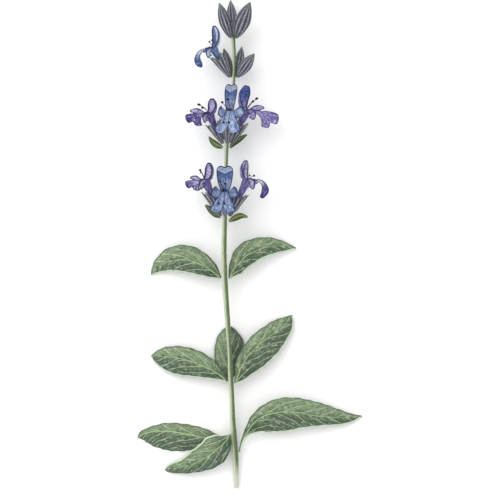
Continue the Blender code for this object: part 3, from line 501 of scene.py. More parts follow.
# A flower's colours: deep, middle, pale and edge, then what it has of each mark.  Hollow is the
# colour of the hood's inside and its strength, rays how pale the streaks near its throat are, and
# fold the colour of the hood's turned-over top.  Hood_pale and hood_dark are a pale and a dark
# stripe down the hood, each at a place (-1 to 1) across it with a half width and a strength.
# Lip_pale is how pale the lip's middle is, tip_deep how far its end darkens, from tip_start of its
# length, and lobe_deep how deep the side lobes are.
PETALS = {
    "lower_left": dict(
        deep=srgb(70, 54, 130), middle=srgb(114, 106, 170), pale=srgb(228, 226, 255),
        edge=srgb(46, 40, 94), hood_pale=(-0.45, 0.3, 0.9), hood_dark=(0.25, 0.3, 0.95),
        lip_pale=0.5, tip_start=0.4, tip_deep=0.75, lobe_deep=0.3,
    ),
    "lower_centre": dict(
        deep=srgb(60, 78, 134), middle=srgb(100, 122, 174), pale=srgb(180, 198, 228),
        edge=srgb(34, 42, 90), hollow=(srgb(80, 106, 172), 0.8), rays=0.8, fold=srgb(208, 224, 252),
        lip_pale=0.5, tip_start=0.8, tip_deep=0.2, lobe_deep=0.2,
    ),
    "lower_right": dict(
        deep=srgb(66, 50, 128), middle=srgb(122, 118, 180), pale=srgb(232, 232, 255),
        edge=srgb(46, 40, 96), hood_pale=(0.5, 0.6, 0.95), hood_dark=(0.45, 0.12, 0.95),
        lip_pale=0.95, tip_start=0.38, tip_deep=1.0, lobe_deep=0.3,
    ),
    "upper_left": dict(
        deep=srgb(62, 46, 122), middle=srgb(112, 98, 164), pale=srgb(222, 216, 252),
        edge=srgb(42, 36, 90), hood_pale=(-0.4, 0.4, 0.95), hood_dark=(0.2, 0.16, 0.6),
        lip_pale=0.35, tip_start=0.2, tip_deep=0.95, lobe_deep=0.1,
    ),
    "upper_centre": dict(
        deep=srgb(64, 84, 144), middle=srgb(114, 136, 188), pale=srgb(196, 212, 238),
        edge=srgb(32, 42, 92), hollow=(srgb(88, 114, 182), 0.8), rays=0.9, fold=srgb(220, 234, 255),
        lip_pale=0.5, tip_start=0.8, tip_deep=0.2, lobe_deep=0.2,
    ),
    "upper_right": dict(
        deep=srgb(72, 66, 136), middle=srgb(116, 104, 170), pale=srgb(216, 208, 246),
        edge=srgb(66, 46, 112), hollow=(srgb(52, 98, 176), 1.0), rays=0.7,
        lip_pale=0.2, tip_start=0.4, tip_deep=0.35, lobe_deep=0.25,
    ),
    "top_left": dict(
        deep=srgb(56, 80, 138), middle=srgb(98, 126, 180), pale=srgb(222, 232, 244),
        edge=srgb(34, 48, 96), hood_pale=(0.12, 0.5, 1.0), hood_dark=(-0.78, 0.22, 0.8),
        lip_pale=0.85, tip_start=0.4, tip_deep=1.0, lobe_deep=0.5,
    ),
}


def spline(knots, rows, places):
    """Read a smooth curve through rows of numbers at an array of places along its knots."""
    knots = np.asarray(knots, float)
    rows = np.asarray(rows, float)
    places = np.asarray(places, float)
    last = len(knots) - 1
    i = np.clip(np.searchsorted(knots, places, side="right") - 1, 0, last - 1)
    before = np.maximum(i - 1, 0)
    after = np.minimum(i + 2, last)
    span = knots[i + 1] - knots[i]
    t = (places - knots[i]) / span
    span_before = knots[i + 1] - knots[before]
    span_after = knots[after] - knots[i]
    if rows.ndim > 1:
        t, span, span_before, span_after = (a[..., None] for a in (t, span, span_before, span_after))
    slope_here = (rows[i + 1] - rows[before]) / span_before * span
    slope_there = (rows[after] - rows[i]) / span_after * span
    return (
        rows[i] * (2 * t**3 - 3 * t**2 + 1)
        + slope_here * (t**3 - 2 * t**2 + t)
        + rows[i + 1] * (3 * t**2 - 2 * t**3)
        + slope_there * (t**3 - t**2)
    )


def profile(pairs, share):
    """Radius at an array of shares, from a short list of (share, radius)."""
    return spline([pair[0] for pair in pairs], [pair[1] for pair in pairs], share)


def chord_knots(stations):
    """Distance travelled from station to station in plan."""
    knots = [0.0]
    for a, b in zip(stations, stations[1:]):
        knots.append(knots[-1] + math.dist(a[:2], b[:2]))
    return knots


def ease(value):
    """Smooth step from 0 to 1."""
    value = np.clip(value, 0.0, 1.0)
    return value * value * (3 - 2 * value)


def arc_point(length, start, end, share, bend=1.0):
    """Point and heading on an arc from start to end, in degrees, and straight on past bend."""
    first = math.radians(start)
    turn = math.radians(end - start)
    turned = np.minimum(share / bend, 1.0)
    heading = first + turn * turned
    radius = length * bend / turn
    straight = length * np.maximum(share - bend, 0.0)
    along = radius * (np.sin(heading) - math.sin(first)) + straight * np.cos(heading)
    outward = radius * (math.cos(first) - np.cos(heading)) + straight * np.sin(heading)
    return along, outward, heading


# Meshes

def named_values(*parts):
    """Three numbers for each point, from arrays and single numbers."""
    return np.stack(np.broadcast_arrays(*parts), axis=-1)


class Sheet:
    """Points, faces and named vectors of one piece, gathered grid by grid."""

    def __init__(self, *names):
        self.points = []
        self.faces = []
        self.names = names
        self.values = {name: [] for name in names}

    def grid(self, places, closed=False, flip=False, **values):
        """Add a grid of points, rows by columns, and its faces."""
        rows, columns = places.shape[:2]
        start = sum(len(part) for part in self.points)
        self.points.append(places.reshape(-1, 3))
        for name in self.names:
            self.values[name].append(values[name].reshape(-1, 3))
        row = np.arange(rows - 1)[:, None] * columns
        column = np.arange(columns if closed else columns - 1)[None, :]
        following = (column + 1) % columns
        corners = [row + column, row + following, row + columns + following, row + columns + column]
        if flip:
            corners.reverse()
        self.faces.append(np.stack(corners, axis=-1).reshape(-1, 4) + start)

    def cap(self, end, shares, flip, places, centre, **values):
        """Close one end of a closed grid with rings that are shares of its own round a centre."""
        rings = [centre + (places[end] - centre) * share for share in shares]
        same = {name: np.stack([value[end] for share in shares]) for name, value in values.items()}
        self.grid(np.stack(rings), closed=True, flip=flip, **same)

    def build(self, name, materials, matrix=None):
        """Make the object; places in millimetres are put in the row frame in metres."""
        points = np.concatenate(self.points) * MM
        faces = np.concatenate(self.faces)
        mesh = bpy.data.meshes.new(name)
        mesh.vertices.add(len(points))
        mesh.vertices.foreach_set("co", points.ravel())
        mesh.loops.add(faces.size)
        mesh.loops.foreach_set("vertex_index", faces.ravel().astype(np.int32))
        mesh.polygons.add(len(faces))
        mesh.polygons.foreach_set("loop_start", np.arange(0, faces.size, 4, dtype=np.int32))
        mesh.update(calc_edges=True)
        for attribute, parts in self.values.items():
            made = mesh.attributes.new(attribute, "FLOAT_VECTOR", "POINT")
            made.data.foreach_set("vector", np.concatenate(parts).astype(np.float32).ravel())
        if matrix is not None:
            mesh.transform(matrix)
        mesh.validate()
        mesh.shade_smooth()
        for material in materials:
            mesh.materials.append(material)
        thing = bpy.data.objects.new(name, mesh)
        bpy.context.scene.collection.objects.link(thing)
        return thing


def weld(thing, distance=0.002):
    """Join points that lie on one another, so that neighbouring grids share them."""
    welding = thing.modifiers.new("Weld", "WELD")
    welding.merge_threshold = distance * MM


def thicken(thing, thickness, offset=0.0, under=0):
    """Give an open sheet its thickness; under is the material step of its lower face."""
    solidify = thing.modifiers.new("Thickness", "SOLIDIFY")
    solidify.thickness = thickness * MM
    solidify.offset = offset
    solidify.use_rim = True
    solidify.material_offset = under


def finish_piece(thing, node):
    """Let a piece stand for its node: hang it on the root and hide the node."""
    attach(thing, "root")
    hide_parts(node)
    return thing


# Materials

class Field:
    """A number that changes over a surface; arithmetic with it adds nodes to its material."""

    def __init__(self, tree, socket):
        self.tree = tree
        self.socket = socket

    def __add__(self, other):
        return self.tree.math("ADD", self, other)

    def __sub__(self, other):
        return self.tree.math("SUBTRACT", self, other)

    def __rsub__(self, other):
        return self.tree.math("SUBTRACT", other, self)

    def __mul__(self, other):
        return self.tree.math("MULTIPLY", self, other)

    def __truediv__(self, other):
        return self.tree.math("DIVIDE", self, other)

    def __gt__(self, other):
        return self.tree.math("GREATER_THAN", self, other)

    def __abs__(self):
        return self.tree.math("ABSOLUTE", self)

    def band(self, low, high):
        """0 below low, 1 above high, smooth between; where low is the greater, the other way."""
        reach = {"From Min": min(low, high), "From Max": max(low, high)}
        ends = {"To Min": float(low > high), "To Max": float(low <= high)}
        inputs = {"Value": self, **reach, **ends}
        return self.tree.node("ShaderNodeMapRange", inputs, interpolation_type="SMOOTHSTEP")


class Tree:
    """A material under way: its nodes, and base, the colour that its surface has so far."""

    def __init__(self, name, roughness, specular):
        self.material = bpy.data.materials.new(name)
        self.material.use_nodes = True
        self.nodes = self.material.node_tree.nodes
        self.links = self.material.node_tree.links
        self.shader = self.nodes["Principled BSDF"]
        self.shader.inputs["Specular IOR Level"].default_value = specular
        self.shader.inputs["Roughness"].default_value = roughness

    def plug(self, value, socket):
        """Link a value to a socket, or set the socket's own number or colour."""
        if isinstance(value, Field):
            self.links.new(value.socket, socket)
        else:
            socket.default_value = value

    def node(self, kind, inputs, output=0, **settings):
        """Add a node with its settings and inputs, and return one of its outputs."""
        made = self.nodes.new(kind)
        for field, setting in settings.items():
            setattr(made, field, setting)
        for key, value in inputs.items():
            self.plug(value, made.inputs[key])
        return Field(self, made.outputs[output])

    def math(self, operation, *values):
        return self.node("ShaderNodeMath", dict(enumerate(values)), operation=operation)

    def vector(self, x, y, z=0.0):
        return self.node("ShaderNodeCombineXYZ", dict(enumerate((x, y, z))))

    def attribute(self, name):
        """The three numbers of a named attribute."""
        whole = self.node("ShaderNodeAttribute", {}, "Vector", attribute_name=name)
        split = self.nodes.new("ShaderNodeSeparateXYZ")
        self.plug(whole, split.inputs[0])
        return [Field(self, socket) for socket in split.outputs]

    def noise(self, place, scale, detail=3.0, roughness=0.55):
        inputs = {"Vector": place, "Scale": scale, "Detail": detail, "Roughness": roughness}
        return self.node("ShaderNodeTexNoise", inputs, "Fac")

    def cells(self, place, scale):
        """Distance to the border between neighbouring cells."""
        inputs = {"Vector": place, "Scale": scale}
        return self.node("ShaderNodeTexVoronoi", inputs, "Distance", feature="DISTANCE_TO_EDGE")

    def mix(self, amount, first, second):
        return self.node("ShaderNodeMix", {"Factor": amount, 6: first, 7: second}, 2, data_type="RGBA")

    def cover(self, colour, amount, strength=1.0):
        """Lay a colour over the base, as much as amount says."""
        self.base = self.mix(amount * strength, self.base, colour)

    def finish(self, relief=None, strength=0.0, depth=0.0):
        """Give the shader its colour, and a relief of so many millimetres."""
        self.plug(self.base, self.shader.inputs["Base Color"])
        if relief is not None:
            inputs = {"Height": relief, "Strength": strength, "Distance": depth * MM}
            self.plug(self.node("ShaderNodeBump", inputs), self.shader.inputs["Normal"])
        return self.material


def blade_material(name, light, dark, vein, midrib, bract=False):
    """Upper face of a leaf: a half painted lit and a half painted in shade, painted shade at its foot,
    flecks, veins, and its two margins.
    """
    tree = Tree(name, roughness=0.72, specular=0.22)
    along, across, width = tree.attribute("blade")
    pale_side, lit_side, length = tree.attribute("blade_look")
    distance = abs(across) * width
    edge = width - distance
    share = along / length
    place = tree.vector(along, across * width, lit_side)
    wobble = tree.noise(place, scale=0.35, detail=2.0) - 0.5
    sway = tree.noise(place, scale=0.08, detail=1.0) - 0.5
    faint = tree.noise(place, scale=0.4, detail=1.0)
    grain = tree.noise(place, scale=1.6, detail=5.0, roughness=0.7)

    # Side veins: start is where along the midrib the vein through a point would leave it.
    spacing = BRACT_VEIN_SPACING if bract else VEIN_SPACING
    start = along - distance * VEIN_FORWARD - distance * distance * VEIN_CURVE
    start = start + (across > 0.0) * (VEIN_STAGGER * spacing) + sway * (VEIN_SWAY * spacing)
    phase = tree.math("FRACT", (start + VEINS_BEFORE * spacing) / spacing)
    off = (0.5 - abs(phase - 0.5)) * (VEIN_LEAN * spacing)
    veins = off.band(0.25, 0.08) * edge.band(0.5, 1.4) * faint.band(0.25, 0.5)

    # A half painted lit and a half painted in shade, painted shade towards the foot, strokes along the
    # veins.
    half = across * lit_side * 3.0 + wobble * 5.0
    tree.base = tree.mix(half.band(-1.2, 1.2), dark, light)
    tree.cover(LEAF_SHADE, (share + wobble * 0.5).band(0.45, 0.0), strength=0.6)
    tree.cover(LEAF_SHADE, grain.band(0.52, 0.36), strength=0.7)
    if not bract:
        stretched = tree.vector(along * 0.3, start * VEIN_LEAN, lit_side)
        strokes = tree.noise(stretched, scale=1.3, detail=4.0, roughness=0.7)
        tree.cover(LEAF_SHADE, strokes.band(0.46, 0.34), strength=0.55)
        tree.cover(LEAF_FLECK, strokes.band(0.55, 0.66), strength=0.85)
    tree.cover(vein, veins, strength=0.85)
    rib = distance / (share * -0.25 + 0.42)
    tree.cover(midrib, rib.band(1.2, 0.65), strength=0.92)

    # A dark line along a plain margin; a pale rim and a faint line inside it along a pale one.
    on_pale = across * pale_side > 0.0
    line = edge.band(BRACT_LINE if bract else LEAF_LINE, 0.15)
    tree.cover(LEAF_EDGE, line * (1.0 - on_pale), strength=0.85)
    tree.cover(LEAF_EDGE, edge.band(1.5, 0.95) * on_pale, strength=0.5)
    tree.cover(LEAF_RIM, edge.band(0.95, 0.6) * on_pale)
    tree.plug(grain * 0.25 + 0.6, tree.shader.inputs["Roughness"])
    net = tree.cells(place, scale=0.85).band(0.0, 0.3)
    return tree.finish(net * 0.6 + grain * 0.8 - veins * 0.5, strength=0.5, depth=0.25)


def blade_under_material(name, base, vein):
    """Underside of a leaf: paler, downy, with raised veins."""
    tree = Tree(name, roughness=0.85, specular=0.15)
    along, across, width = tree.attribute("blade")
    place = tree.vector(along, across * width)
    grain = tree.noise(place, scale=2.2, detail=5.0, roughness=0.7)
    net = tree.cells(place, scale=0.85)
    tree.base = tree.mix(grain.band(0.35, 0.65), LEAF_SHADED_HALF_AND_UNDER_GRAIN, base)
    tree.cover(vein, net.band(0.1, 0.0), strength=0.4)
    tree.cover(vein, (abs(across) * width).band(0.5, 0.25))
    return tree.finish(net.band(0.12, 0.0) + grain * 0.6, strength=0.6, depth=0.25)


def stem_material():
    """Square green stem: a pale left painted lit, a darker right painted in shade, fine streaks, and a
    pale cut end.
    """
    tree = Tree("stem_skin", roughness=0.6, specular=0.3)
    side, up, along = tree.attribute("stem")
    place = tree.vector(side * 1.5, up * 1.5, along * 0.12)
    streak = tree.noise(place, scale=2.6, detail=4.0, roughness=0.65)
    drift = (streak - 0.5) * 0.9
    turn = side + drift
    # Painted light and shade: pale on the lit left side, dark on the right side in shade, then partly
    # green again at the far right.
    tree.base = tree.mix(turn.band(-0.5, -0.1), STEM_PALE, STEM_GREEN)
    tree.cover(STEM_DARK, turn.band(-0.15, 0.3))
    tree.cover(STEM_GREEN, turn.band(0.7, 0.85), strength=0.5)
    tree.cover(STEM_OUTLINE, abs(side).band(0.86, 0.97), strength=0.8)
    tree.cover(STEM_PALE, tree.noise(place, scale=5.0, detail=2.0).band(0.6, 0.72), strength=0.4)
    tree.cover(STEM_CUT, (along + drift * 8.0).band(15.0, 3.0), strength=0.8)
    return tree.finish(streak, strength=0.4, depth=0.2)


def calyx_material():
    """Grey-purple calyx with pale ridges, dark grooves and green edges."""
    tree = Tree("calyx_skin", roughness=0.65, specular=0.25)
    share, turn, height = tree.attribute("bell")
    look, edge, violet = tree.attribute("bell_look")
    place = tree.vector(turn * 9.0, height * 0.22, look)
    fine = tree.noise(place, scale=4.2, detail=4.0, roughness=0.6)
    broad = tree.noise(place, scale=1.4, detail=2.0)
    ridge = tree.math("COSINE", turn * (2 * math.pi * CALYX_FINE_RIBS)) + (fine - 0.5) * 2.6
    tree.base = tree.mix(ridge.band(-0.1, -0.6), CALYX_BASE, CALYX_GROOVE)
    tree.cover(CALYX_RIDGE, ridge.band(0.6, 1.05), strength=0.8)
    tree.cover(CALYX_GREEN, broad.band(0.5, 0.7), strength=0.4)
    tree.cover(CALYX_GREEN, share.band(0.8, 1.0), strength=0.35)
    tree.cover(CALYX_GREEN, edge.band(0.9, 0.98), strength=0.8)
    tree.cover(CALYX_VIOLET, violet, strength=0.6)
    tree.cover(STEM_DARK, share.band(0.14, 0.0), strength=0.7)
    return tree.finish(ridge, strength=0.35, depth=0.2)


def petal_material(name, look):
    """A petal: streaks along its length, a dark edge, the flower's own pale and deep areas, and a
    painted highlight down each side lobe.
    """
    tree = Tree(name, roughness=0.5, specular=0.3)
    deep, middle, pale, line = look["deep"], look["middle"], look["pale"], look["edge"]
    far, turn, part = tree.attribute("petal")
    share, across, inward = tree.attribute("petal_look")
    edge = abs(across)
    place = tree.vector(turn * 16.0, far * 0.2, part)
    streak = tree.noise(place, scale=2.0, detail=4.0, roughness=0.65)
    fine = tree.noise(place, scale=3.8, roughness=0.6)
    blotch = tree.noise(tree.vector(turn * 9.0, far, part), scale=0.45, detail=2.0)
    shift = (blotch - 0.5) * 0.5
    hood, lip, lobe = (tree.math("COMPARE", part, number, 0.2) for number in (HOOD, LIP, SIDE_LOBE))

    # Streaks of all three colours.
    tree.base = tree.mix(streak.band(0.5, 0.4), middle, deep)
    tree.cover(pale, streak.band(0.53, 0.62), strength=0.85)

    # The hood's inside, with pale streaks near the throat, and its turned-over top.
    above = shift * 0.12 + share - (edge * 0.25 + 0.58)
    if "hollow" in look:
        inside, strength = look["hollow"]
        if "fold" in look:
            dim = share.band(0.1, 0.4) * above.band(0.0, -0.03)
        else:
            dim = share.band(0.1, 0.3) * inward.band(0.9, 1.5)
        tree.cover(inside, dim * hood, strength)
        rays = fine.band(0.46, 0.56) * share.band(0.6, 0.2)
        tree.cover(look.get("fold", pale), rays * hood, look["rays"])
    if "fold" in look:
        fold = above.band(0.0, 0.03) * hood
        tree.cover(tree.mix(above.band(0.06, 0.2), look["fold"], pale), fold, strength=0.95)
        tree.cover(middle, fine.band(0.5, 0.4) * fold, strength=0.3)
        tree.cover(line, abs(above).band(0.04, 0.015) * hood, strength=0.8)
    for mark, colour in (("hood_pale", pale), ("hood_dark", deep)):
        if mark in look:
            at, half, strength = look[mark]
            stripe = abs(across + shift - at).band(half + 0.12, half - 0.12) * share.band(0.0, 0.15)
            tree.cover(colour, stripe * hood, strength)

    # The lip: pale in its middle, deeper towards its end, with a line between its two halves.
    spread = edge + shift
    start = look["tip_start"]
    tree.cover(pale, share.band(0.05, 0.25) * spread.band(0.95, 0.35) * lip, look["lip_pale"])
    tree.cover(deep, (share + shift).band(start, start + 0.25) * lip, look["tip_deep"])
    tree.cover(line, edge.band(0.08, 0.03) * share.band(0.12, 0.3) * lip, strength=0.75)
    tree.cover(deep, share.band(0.1, 0.5) * lobe, look["lobe_deep"])
    # A painted highlight down the middle of each side lobe.
    tree.cover(pale, spread.band(0.8, 0.2) * share.band(0.1, 0.35) * lobe, strength=0.55)

    # Fine veins, a shaded throat, and the dark edge.
    tree.cover(deep, fine.band(0.47, 0.4), strength=0.7)
    tree.cover(pale, fine.band(0.56, 0.63), strength=0.6)
    tree.cover(deep, share.band(0.1, 0.0), strength=0.4)
    tree.cover(line, inward.band(0.7, 0.4) * share.band(0.04, 0.14), strength=0.95)
    return tree.finish(streak + fine * 0.5, strength=0.35, depth=0.15)


def stamen_material():
    """Thin dark filaments and near-black anthers."""
    tree = Tree("anther_skin", roughness=0.5, specular=0.3)
    thick, along = tree.attribute("thread")[:2]
    tree.base = tree.mix(thick.band(THREAD * 1.2, THREAD * 1.8), FILAMENT, ANTHER)
    return tree.finish(tree.noise(tree.vector(along, thick), scale=6.0), strength=0.3, depth=0.1)


def down_material():
    """Short white hairs."""
    tree = Tree("down_hair", roughness=0.7, specular=0.2)
    tree.base = tree.mix(tree.attribute("hair")[0], STEM_PALE, DOWN)
    return tree.finish()


def floor_material():
    """Plain matte white paper."""
    tree = Tree("floor_paper", roughness=0.9, specular=0.1)
    place = tree.node("ShaderNodeTexCoord", {}, "Object")
    tree.base = tree.mix(tree.noise(place, scale=300.0), FLOOR_DARK, FLOOR_LIGHT)
    return tree.finish()


# Stem

def stem_at(y):
    """Middle and half width of the stem at an array of places along it."""
    found = spline([station[1] for station in STEM], STEM, y)
    return found[..., :3], found[..., 3]


def unit(rows):
    """Rows of vectors, each made one long."""
    return rows / np.linalg.norm(rows, axis=1)[:, None]


def stem_rings(count):
    """Centres, half widths, and the two unit vectors across the stem, for rings along it."""
    middle, half = stem_at(np.linspace(STEM[0][1], STEM[-1][1], count))
    heading = unit(np.gradient(middle, axis=0))
    side = unit(np.cross(heading, (0.0, 0.0, 1.0)))
    return middle, half, side, np.cross(side, heading)


def stem_radius(angle):
    """A square stem with rounded corners: radius as a share of the half width."""
    return STEM_FACE + STEM_CORNER * np.sin(2 * angle) ** 2


def make_stem(material):
    count = round((STEM[-1][1] - STEM[0][1]) / STEM_ROW)
    middle, half, side, up = stem_rings(count)
    angle = np.linspace(0, 2 * math.pi, STEM_SIDES, endpoint=False)[None, :]
    factor = half[:, None] * stem_radius(angle)
    across = np.cos(angle) * factor
    rise = np.sin(angle) * factor
    places = middle[:, None] + side[:, None] * across[..., None] + up[:, None] * rise[..., None]
    along = np.broadcast_to((middle[:, 1] - middle[0, 1])[:, None], across.shape)
    value = np.stack([across / half[:, None], rise / half[:, None], along], axis=-1)
    sheet = Sheet("stem")
    sheet.grid(places, closed=True, stem=value)
    for end, flip in ((0, True), (-1, False)):
        rings = [middle[end] + (places[end] - middle[end]) * share for share in STEM_END_RINGS]
        marks = [value[end] * np.array((share, share, 1.0)) for share in STEM_END_RINGS]
        sheet.grid(np.stack(rings), closed=True, flip=flip, stem=np.stack(marks))
    stem = sheet.build("stem_fine", [material])
    weld(stem)
    finish_piece(stem, "stem")


# Leaves and bracts

def vein_offset(along, distance, across):
    """Distance to a leaf's nearest side vein, as its material has it."""
    start = along - VEIN_FORWARD * distance - VEIN_CURVE * distance**2
    start = start + np.where(across > 0, VEIN_STAGGER * VEIN_SPACING, 0.0)
    phase = np.mod(start / VEIN_SPACING, 1.0)
    return (0.5 - np.abs(phase - 0.5)) * VEIN_LEAN * VEIN_SPACING


def blade_height(shape, share, edge, reach, width):
    """Height of a blade's middle face over its plan, at least half the CAD blade."""
    base, middle, tip = shape["heights"]
    height = base * (1 - share) * (1 - 2 * share) + middle * 4 * share * (1 - share)
    height = height + tip * share * (2 * share - 1)
    fullness = width / max(max(station[2:]) for station in shape["stations"])
    height = height + shape.get("crown", BRACT_CROWN) * np.sin(math.pi * edge) * fullness
    height = height - shape.get("droop", 0.0) * edge**2 * fullness
    return np.maximum(height + shape.get("slope", 0.0) * reach, BLADE / 2)


def margin_growth(along, edge, width, seed):
    """How far a leaf's scalloped and finely toothed margin stands out."""
    scallop = SCALLOP * np.cos(2 * math.pi * along / SCALLOP_LENGTH) * edge**SCALLOP_POWER
    fine = CRENULATION * np.cos(2 * math.pi * along / CRENULATION_LENGTH + seed)
    return (scallop + fine * edge**CRENULATION_POWER) * np.minimum(width / SCALLOP_FADE, 1.0)


def leaf_relief(along, across, distance, width, seed):
    """Grooves along a leaf's veins and midrib, and the puckers between them."""
    inside = ease((1 - np.abs(across)) * width / GROOVE_FADE)
    off = vein_offset(along, distance, across)
    grooves = VEIN_GROOVE * np.exp(-((off / VEIN_GROOVE_WIDTH) ** 2)) * inside
    grooves = grooves + MIDRIB_GROOVE * np.exp(-((distance / VEIN_GROOVE_WIDTH) ** 2))
    bumps = np.sin(2 * math.pi * (along + PUCKER_SLANTS[0] * distance) / PUCKER_LENGTH + seed)
    bumps = bumps * np.sin(2 * math.pi * (distance - PUCKER_SLANTS[1] * along) / PUCKER_LENGTH)
    return PUCKER * bumps * inside - grooves


def make_blade(name, shape, row_length, half_columns, materials, seed):
    """A leaf or bract: the CAD blade's own form with grooves, puckers and a fine margin."""
    knots = chord_knots(shape["stations"])
    length = knots[-1]
    along = np.linspace(0.0, length, round(length / row_length) + 1)
    found = spline(knots, shape["stations"], along)
    ahead = spline(knots, shape["stations"], np.minimum(along + HEADING_STEP, length))
    behind = spline(knots, shape["stations"], np.maximum(along - HEADING_STEP, 0.0))
    heading = unit((ahead - behind)[:, :2])
    across = np.linspace(-1.0, 1.0, 2 * half_columns + 1)[None, :]
    across = np.sign(across) * (1 - (1 - np.abs(across)) ** COLUMN_CROWDING)
    along = along[:, None]
    share = along / length
    edge = np.abs(across)
    width = np.where(across > 0, found[:, 2:3], found[:, 3:4])
    reach = width * across
    height = blade_height(shape, share, edge, reach, width)
    if "droop" in shape:
        height = height + leaf_relief(along, across, np.abs(reach), width, seed)
        reach = reach + np.sign(across) * margin_growth(along, edge, width, seed)
    height = np.maximum(height, LEAF_THICKNESS / 2)
    side = np.stack([-heading[:, 1], heading[:, 0]], axis=1)
    plan = found[:, None, :2] + side[:, None, :] * reach[..., None]
    places = np.concatenate([plan, height[..., None]], axis=2)
    sheet = Sheet("blade", "blade_look")
    value = named_values(along, across, width)
    # Which margin is pale, which half is painted lit (the other painted in shade), and the blade's
    # length.
    look = named_values(reach * 0.0 + shape["pale"], shape["light"], length)
    sheet.grid(places, flip=True, blade=value, blade_look=look)
    blade = sheet.build(name + "_fine", materials)
    thicken(blade, LEAF_THICKNESS, under=1)
    return finish_piece(blade, name)


# Flowers: in a flower's own axes x is its side, y runs along its tube, z is outwards

def flower_matrix(shape, offset):
    """Place a flower on the stem, offset from the stem's skin, by its two angles."""
    middle, half = stem_at(np.array(WHORLS[shape["whorl"]]))
    around = math.radians(shape["around"])
    spread = math.radians(shape["spread"])
    radial = Vector((math.cos(around), 0.0, math.sin(around)))
    upward = Vector((0.0, 1.0, 0.0))
    forward = upward * math.cos(spread) + radial * math.sin(spread)
    outward = radial * math.cos(spread) - upward * math.sin(spread)
    matrix = Matrix((forward.cross(outward), forward, outward)).transposed().to_4x4()
    matrix.translation = (Vector(middle) + radial * (float(half) + offset)) * MM
    return matrix


def flower_piece(sheet, node, shape, offset, material):
    """Build a piece of a flower at its place on the stem, and finish it."""
    thing = sheet.build(node + "_fine", [material], flower_matrix(shape, offset))
    weld(thing)
    return finish_piece(thing, node)


def ring_places(along, radius, turn):
    """Points of rings round the tube; turn is in radians, 0 at the hood's middle."""
    along, radius, turn = np.broadcast_arrays(along, radius, turn)
    return np.stack([radius * np.sin(turn), along, -radius * np.cos(turn)], axis=-1)


def bell_ribs():
    """Angles round a bell, their distance (0 to 1) from a tooth's middle, and the ribs' height."""
    turn = np.linspace(0, 2 * math.pi, CALYX_COLUMNS, endpoint=False)[None, :]
    tooth = np.mod(turn / (2 * math.pi) * CALYX_TEETH, 1.0)
    away = np.abs(tooth - np.round(tooth)) * 2
    ribs = CALYX_RIB * (1 - 2 * away) + CALYX_FINE_RIB * np.cos(turn * CALYX_FINE_RIBS)
    return turn, away, ribs


def bell_values(share, turn, length, seed, edge, violet):
    """The named values of a calyx or bud: where each point is, and how the whole one looks."""
    value = named_values(share, turn / (2 * math.pi), share * length)
    look = named_values(share * turn * 0.0 + seed, edge, violet)
    return dict(bell=value, bell_look=look)


def make_calyx(name, shape, material, seed):
    """A ribbed bell with five pointed teeth, open at its mouth."""
    turn, away, ribs = bell_ribs()
    row = np.linspace(0.0, 1.0, CALYX_ROWS + 1)[:, None]
    share = row * (1.0 - (1.0 - CALYX_NOTCH) * (1 - (1 - away) ** TOOTH_POINT))
    radius = profile(CALYX_PROFILE, share) + ribs * np.minimum(share * CALYX_RIB_RISE, 1.0)
    places = ring_places(share * shape["calyx"], radius, turn)
    values = bell_values(share, turn, shape["calyx"], seed, row, float(name == VIOLET_CALYX))
    sheet = Sheet("bell", "bell_look")
    sheet.grid(places, closed=True, flip=True, **values)
    sheet.cap(0, (0.0, 1.0), True, places, places[0] * Y_AXIS, **values)
    calyx = flower_piece(sheet, "calyx_" + name, shape, FLOWER_OFFSET, material)
    thicken(calyx, CALYX_THICKNESS, offset=-1.0)
    return calyx


def make_bud(name, shape, material, seed):
    """A calyx still closed over its bud: a ribbed spindle with a pointed tip."""
    turn, away, ribs = bell_ribs()
    share = np.linspace(0.0, 1.0, CALYX_ROWS + 1)[:, None]
    radius = shape["radius"] * profile(BUD_PROFILE, share) + ribs * np.sin(math.pi * share)
    places = ring_places(share * shape["length"], radius, turn)
    edge = np.where(share > BUD_SEAM_START, 1.0 - (1 - away) * BUD_SEAM, 0.0)
    values = bell_values(share, turn, shape["length"], seed, edge, 0.0)
    sheet = Sheet("bell", "bell_look")
    sheet.grid(places, closed=True, flip=True, **values)
    for end, flip in ((0, False), (-1, True)):
        sheet.cap(end, (1.0, 0.0), flip, places, places[end] * Y_AXIS, **values)
    return flower_piece(sheet, "bud_" + name, shape, BUD_OFFSET, material)


def hood_places(shape, share, turn):
    """The upper lip: a deep hood that leans back and curls over at its tip."""
    along, outward, heading = arc_point(shape["hood"], shape["lean"], shape["lean"] + HOOD_CURL, share)
    wide = shape["hood_width"] * profile(HOOD_WIDTH[shape["hood_form"]], share) * np.sin(turn)
    deep = shape["throat"] * profile(HOOD_DEPTH, share) * np.cos(turn)
    off = np.degrees(turn) / HOOD_NOTCH_ANGLE
    notch = HOOD_NOTCH[shape["hood_form"]] * share**4 * np.exp(-(off**2))
    roll = math.radians(shape["hood_roll"]) * share
    x = wide * np.cos(roll) - deep * np.sin(roll)
    rise = -wide * np.sin(roll) - deep * np.cos(roll)
    along = along - rise * np.sin(heading) - notch * np.cos(heading)
    outward = outward + rise * np.cos(heading) - notch * np.sin(heading)
    return np.stack([x, shape["tube"] + along, outward], axis=-1)


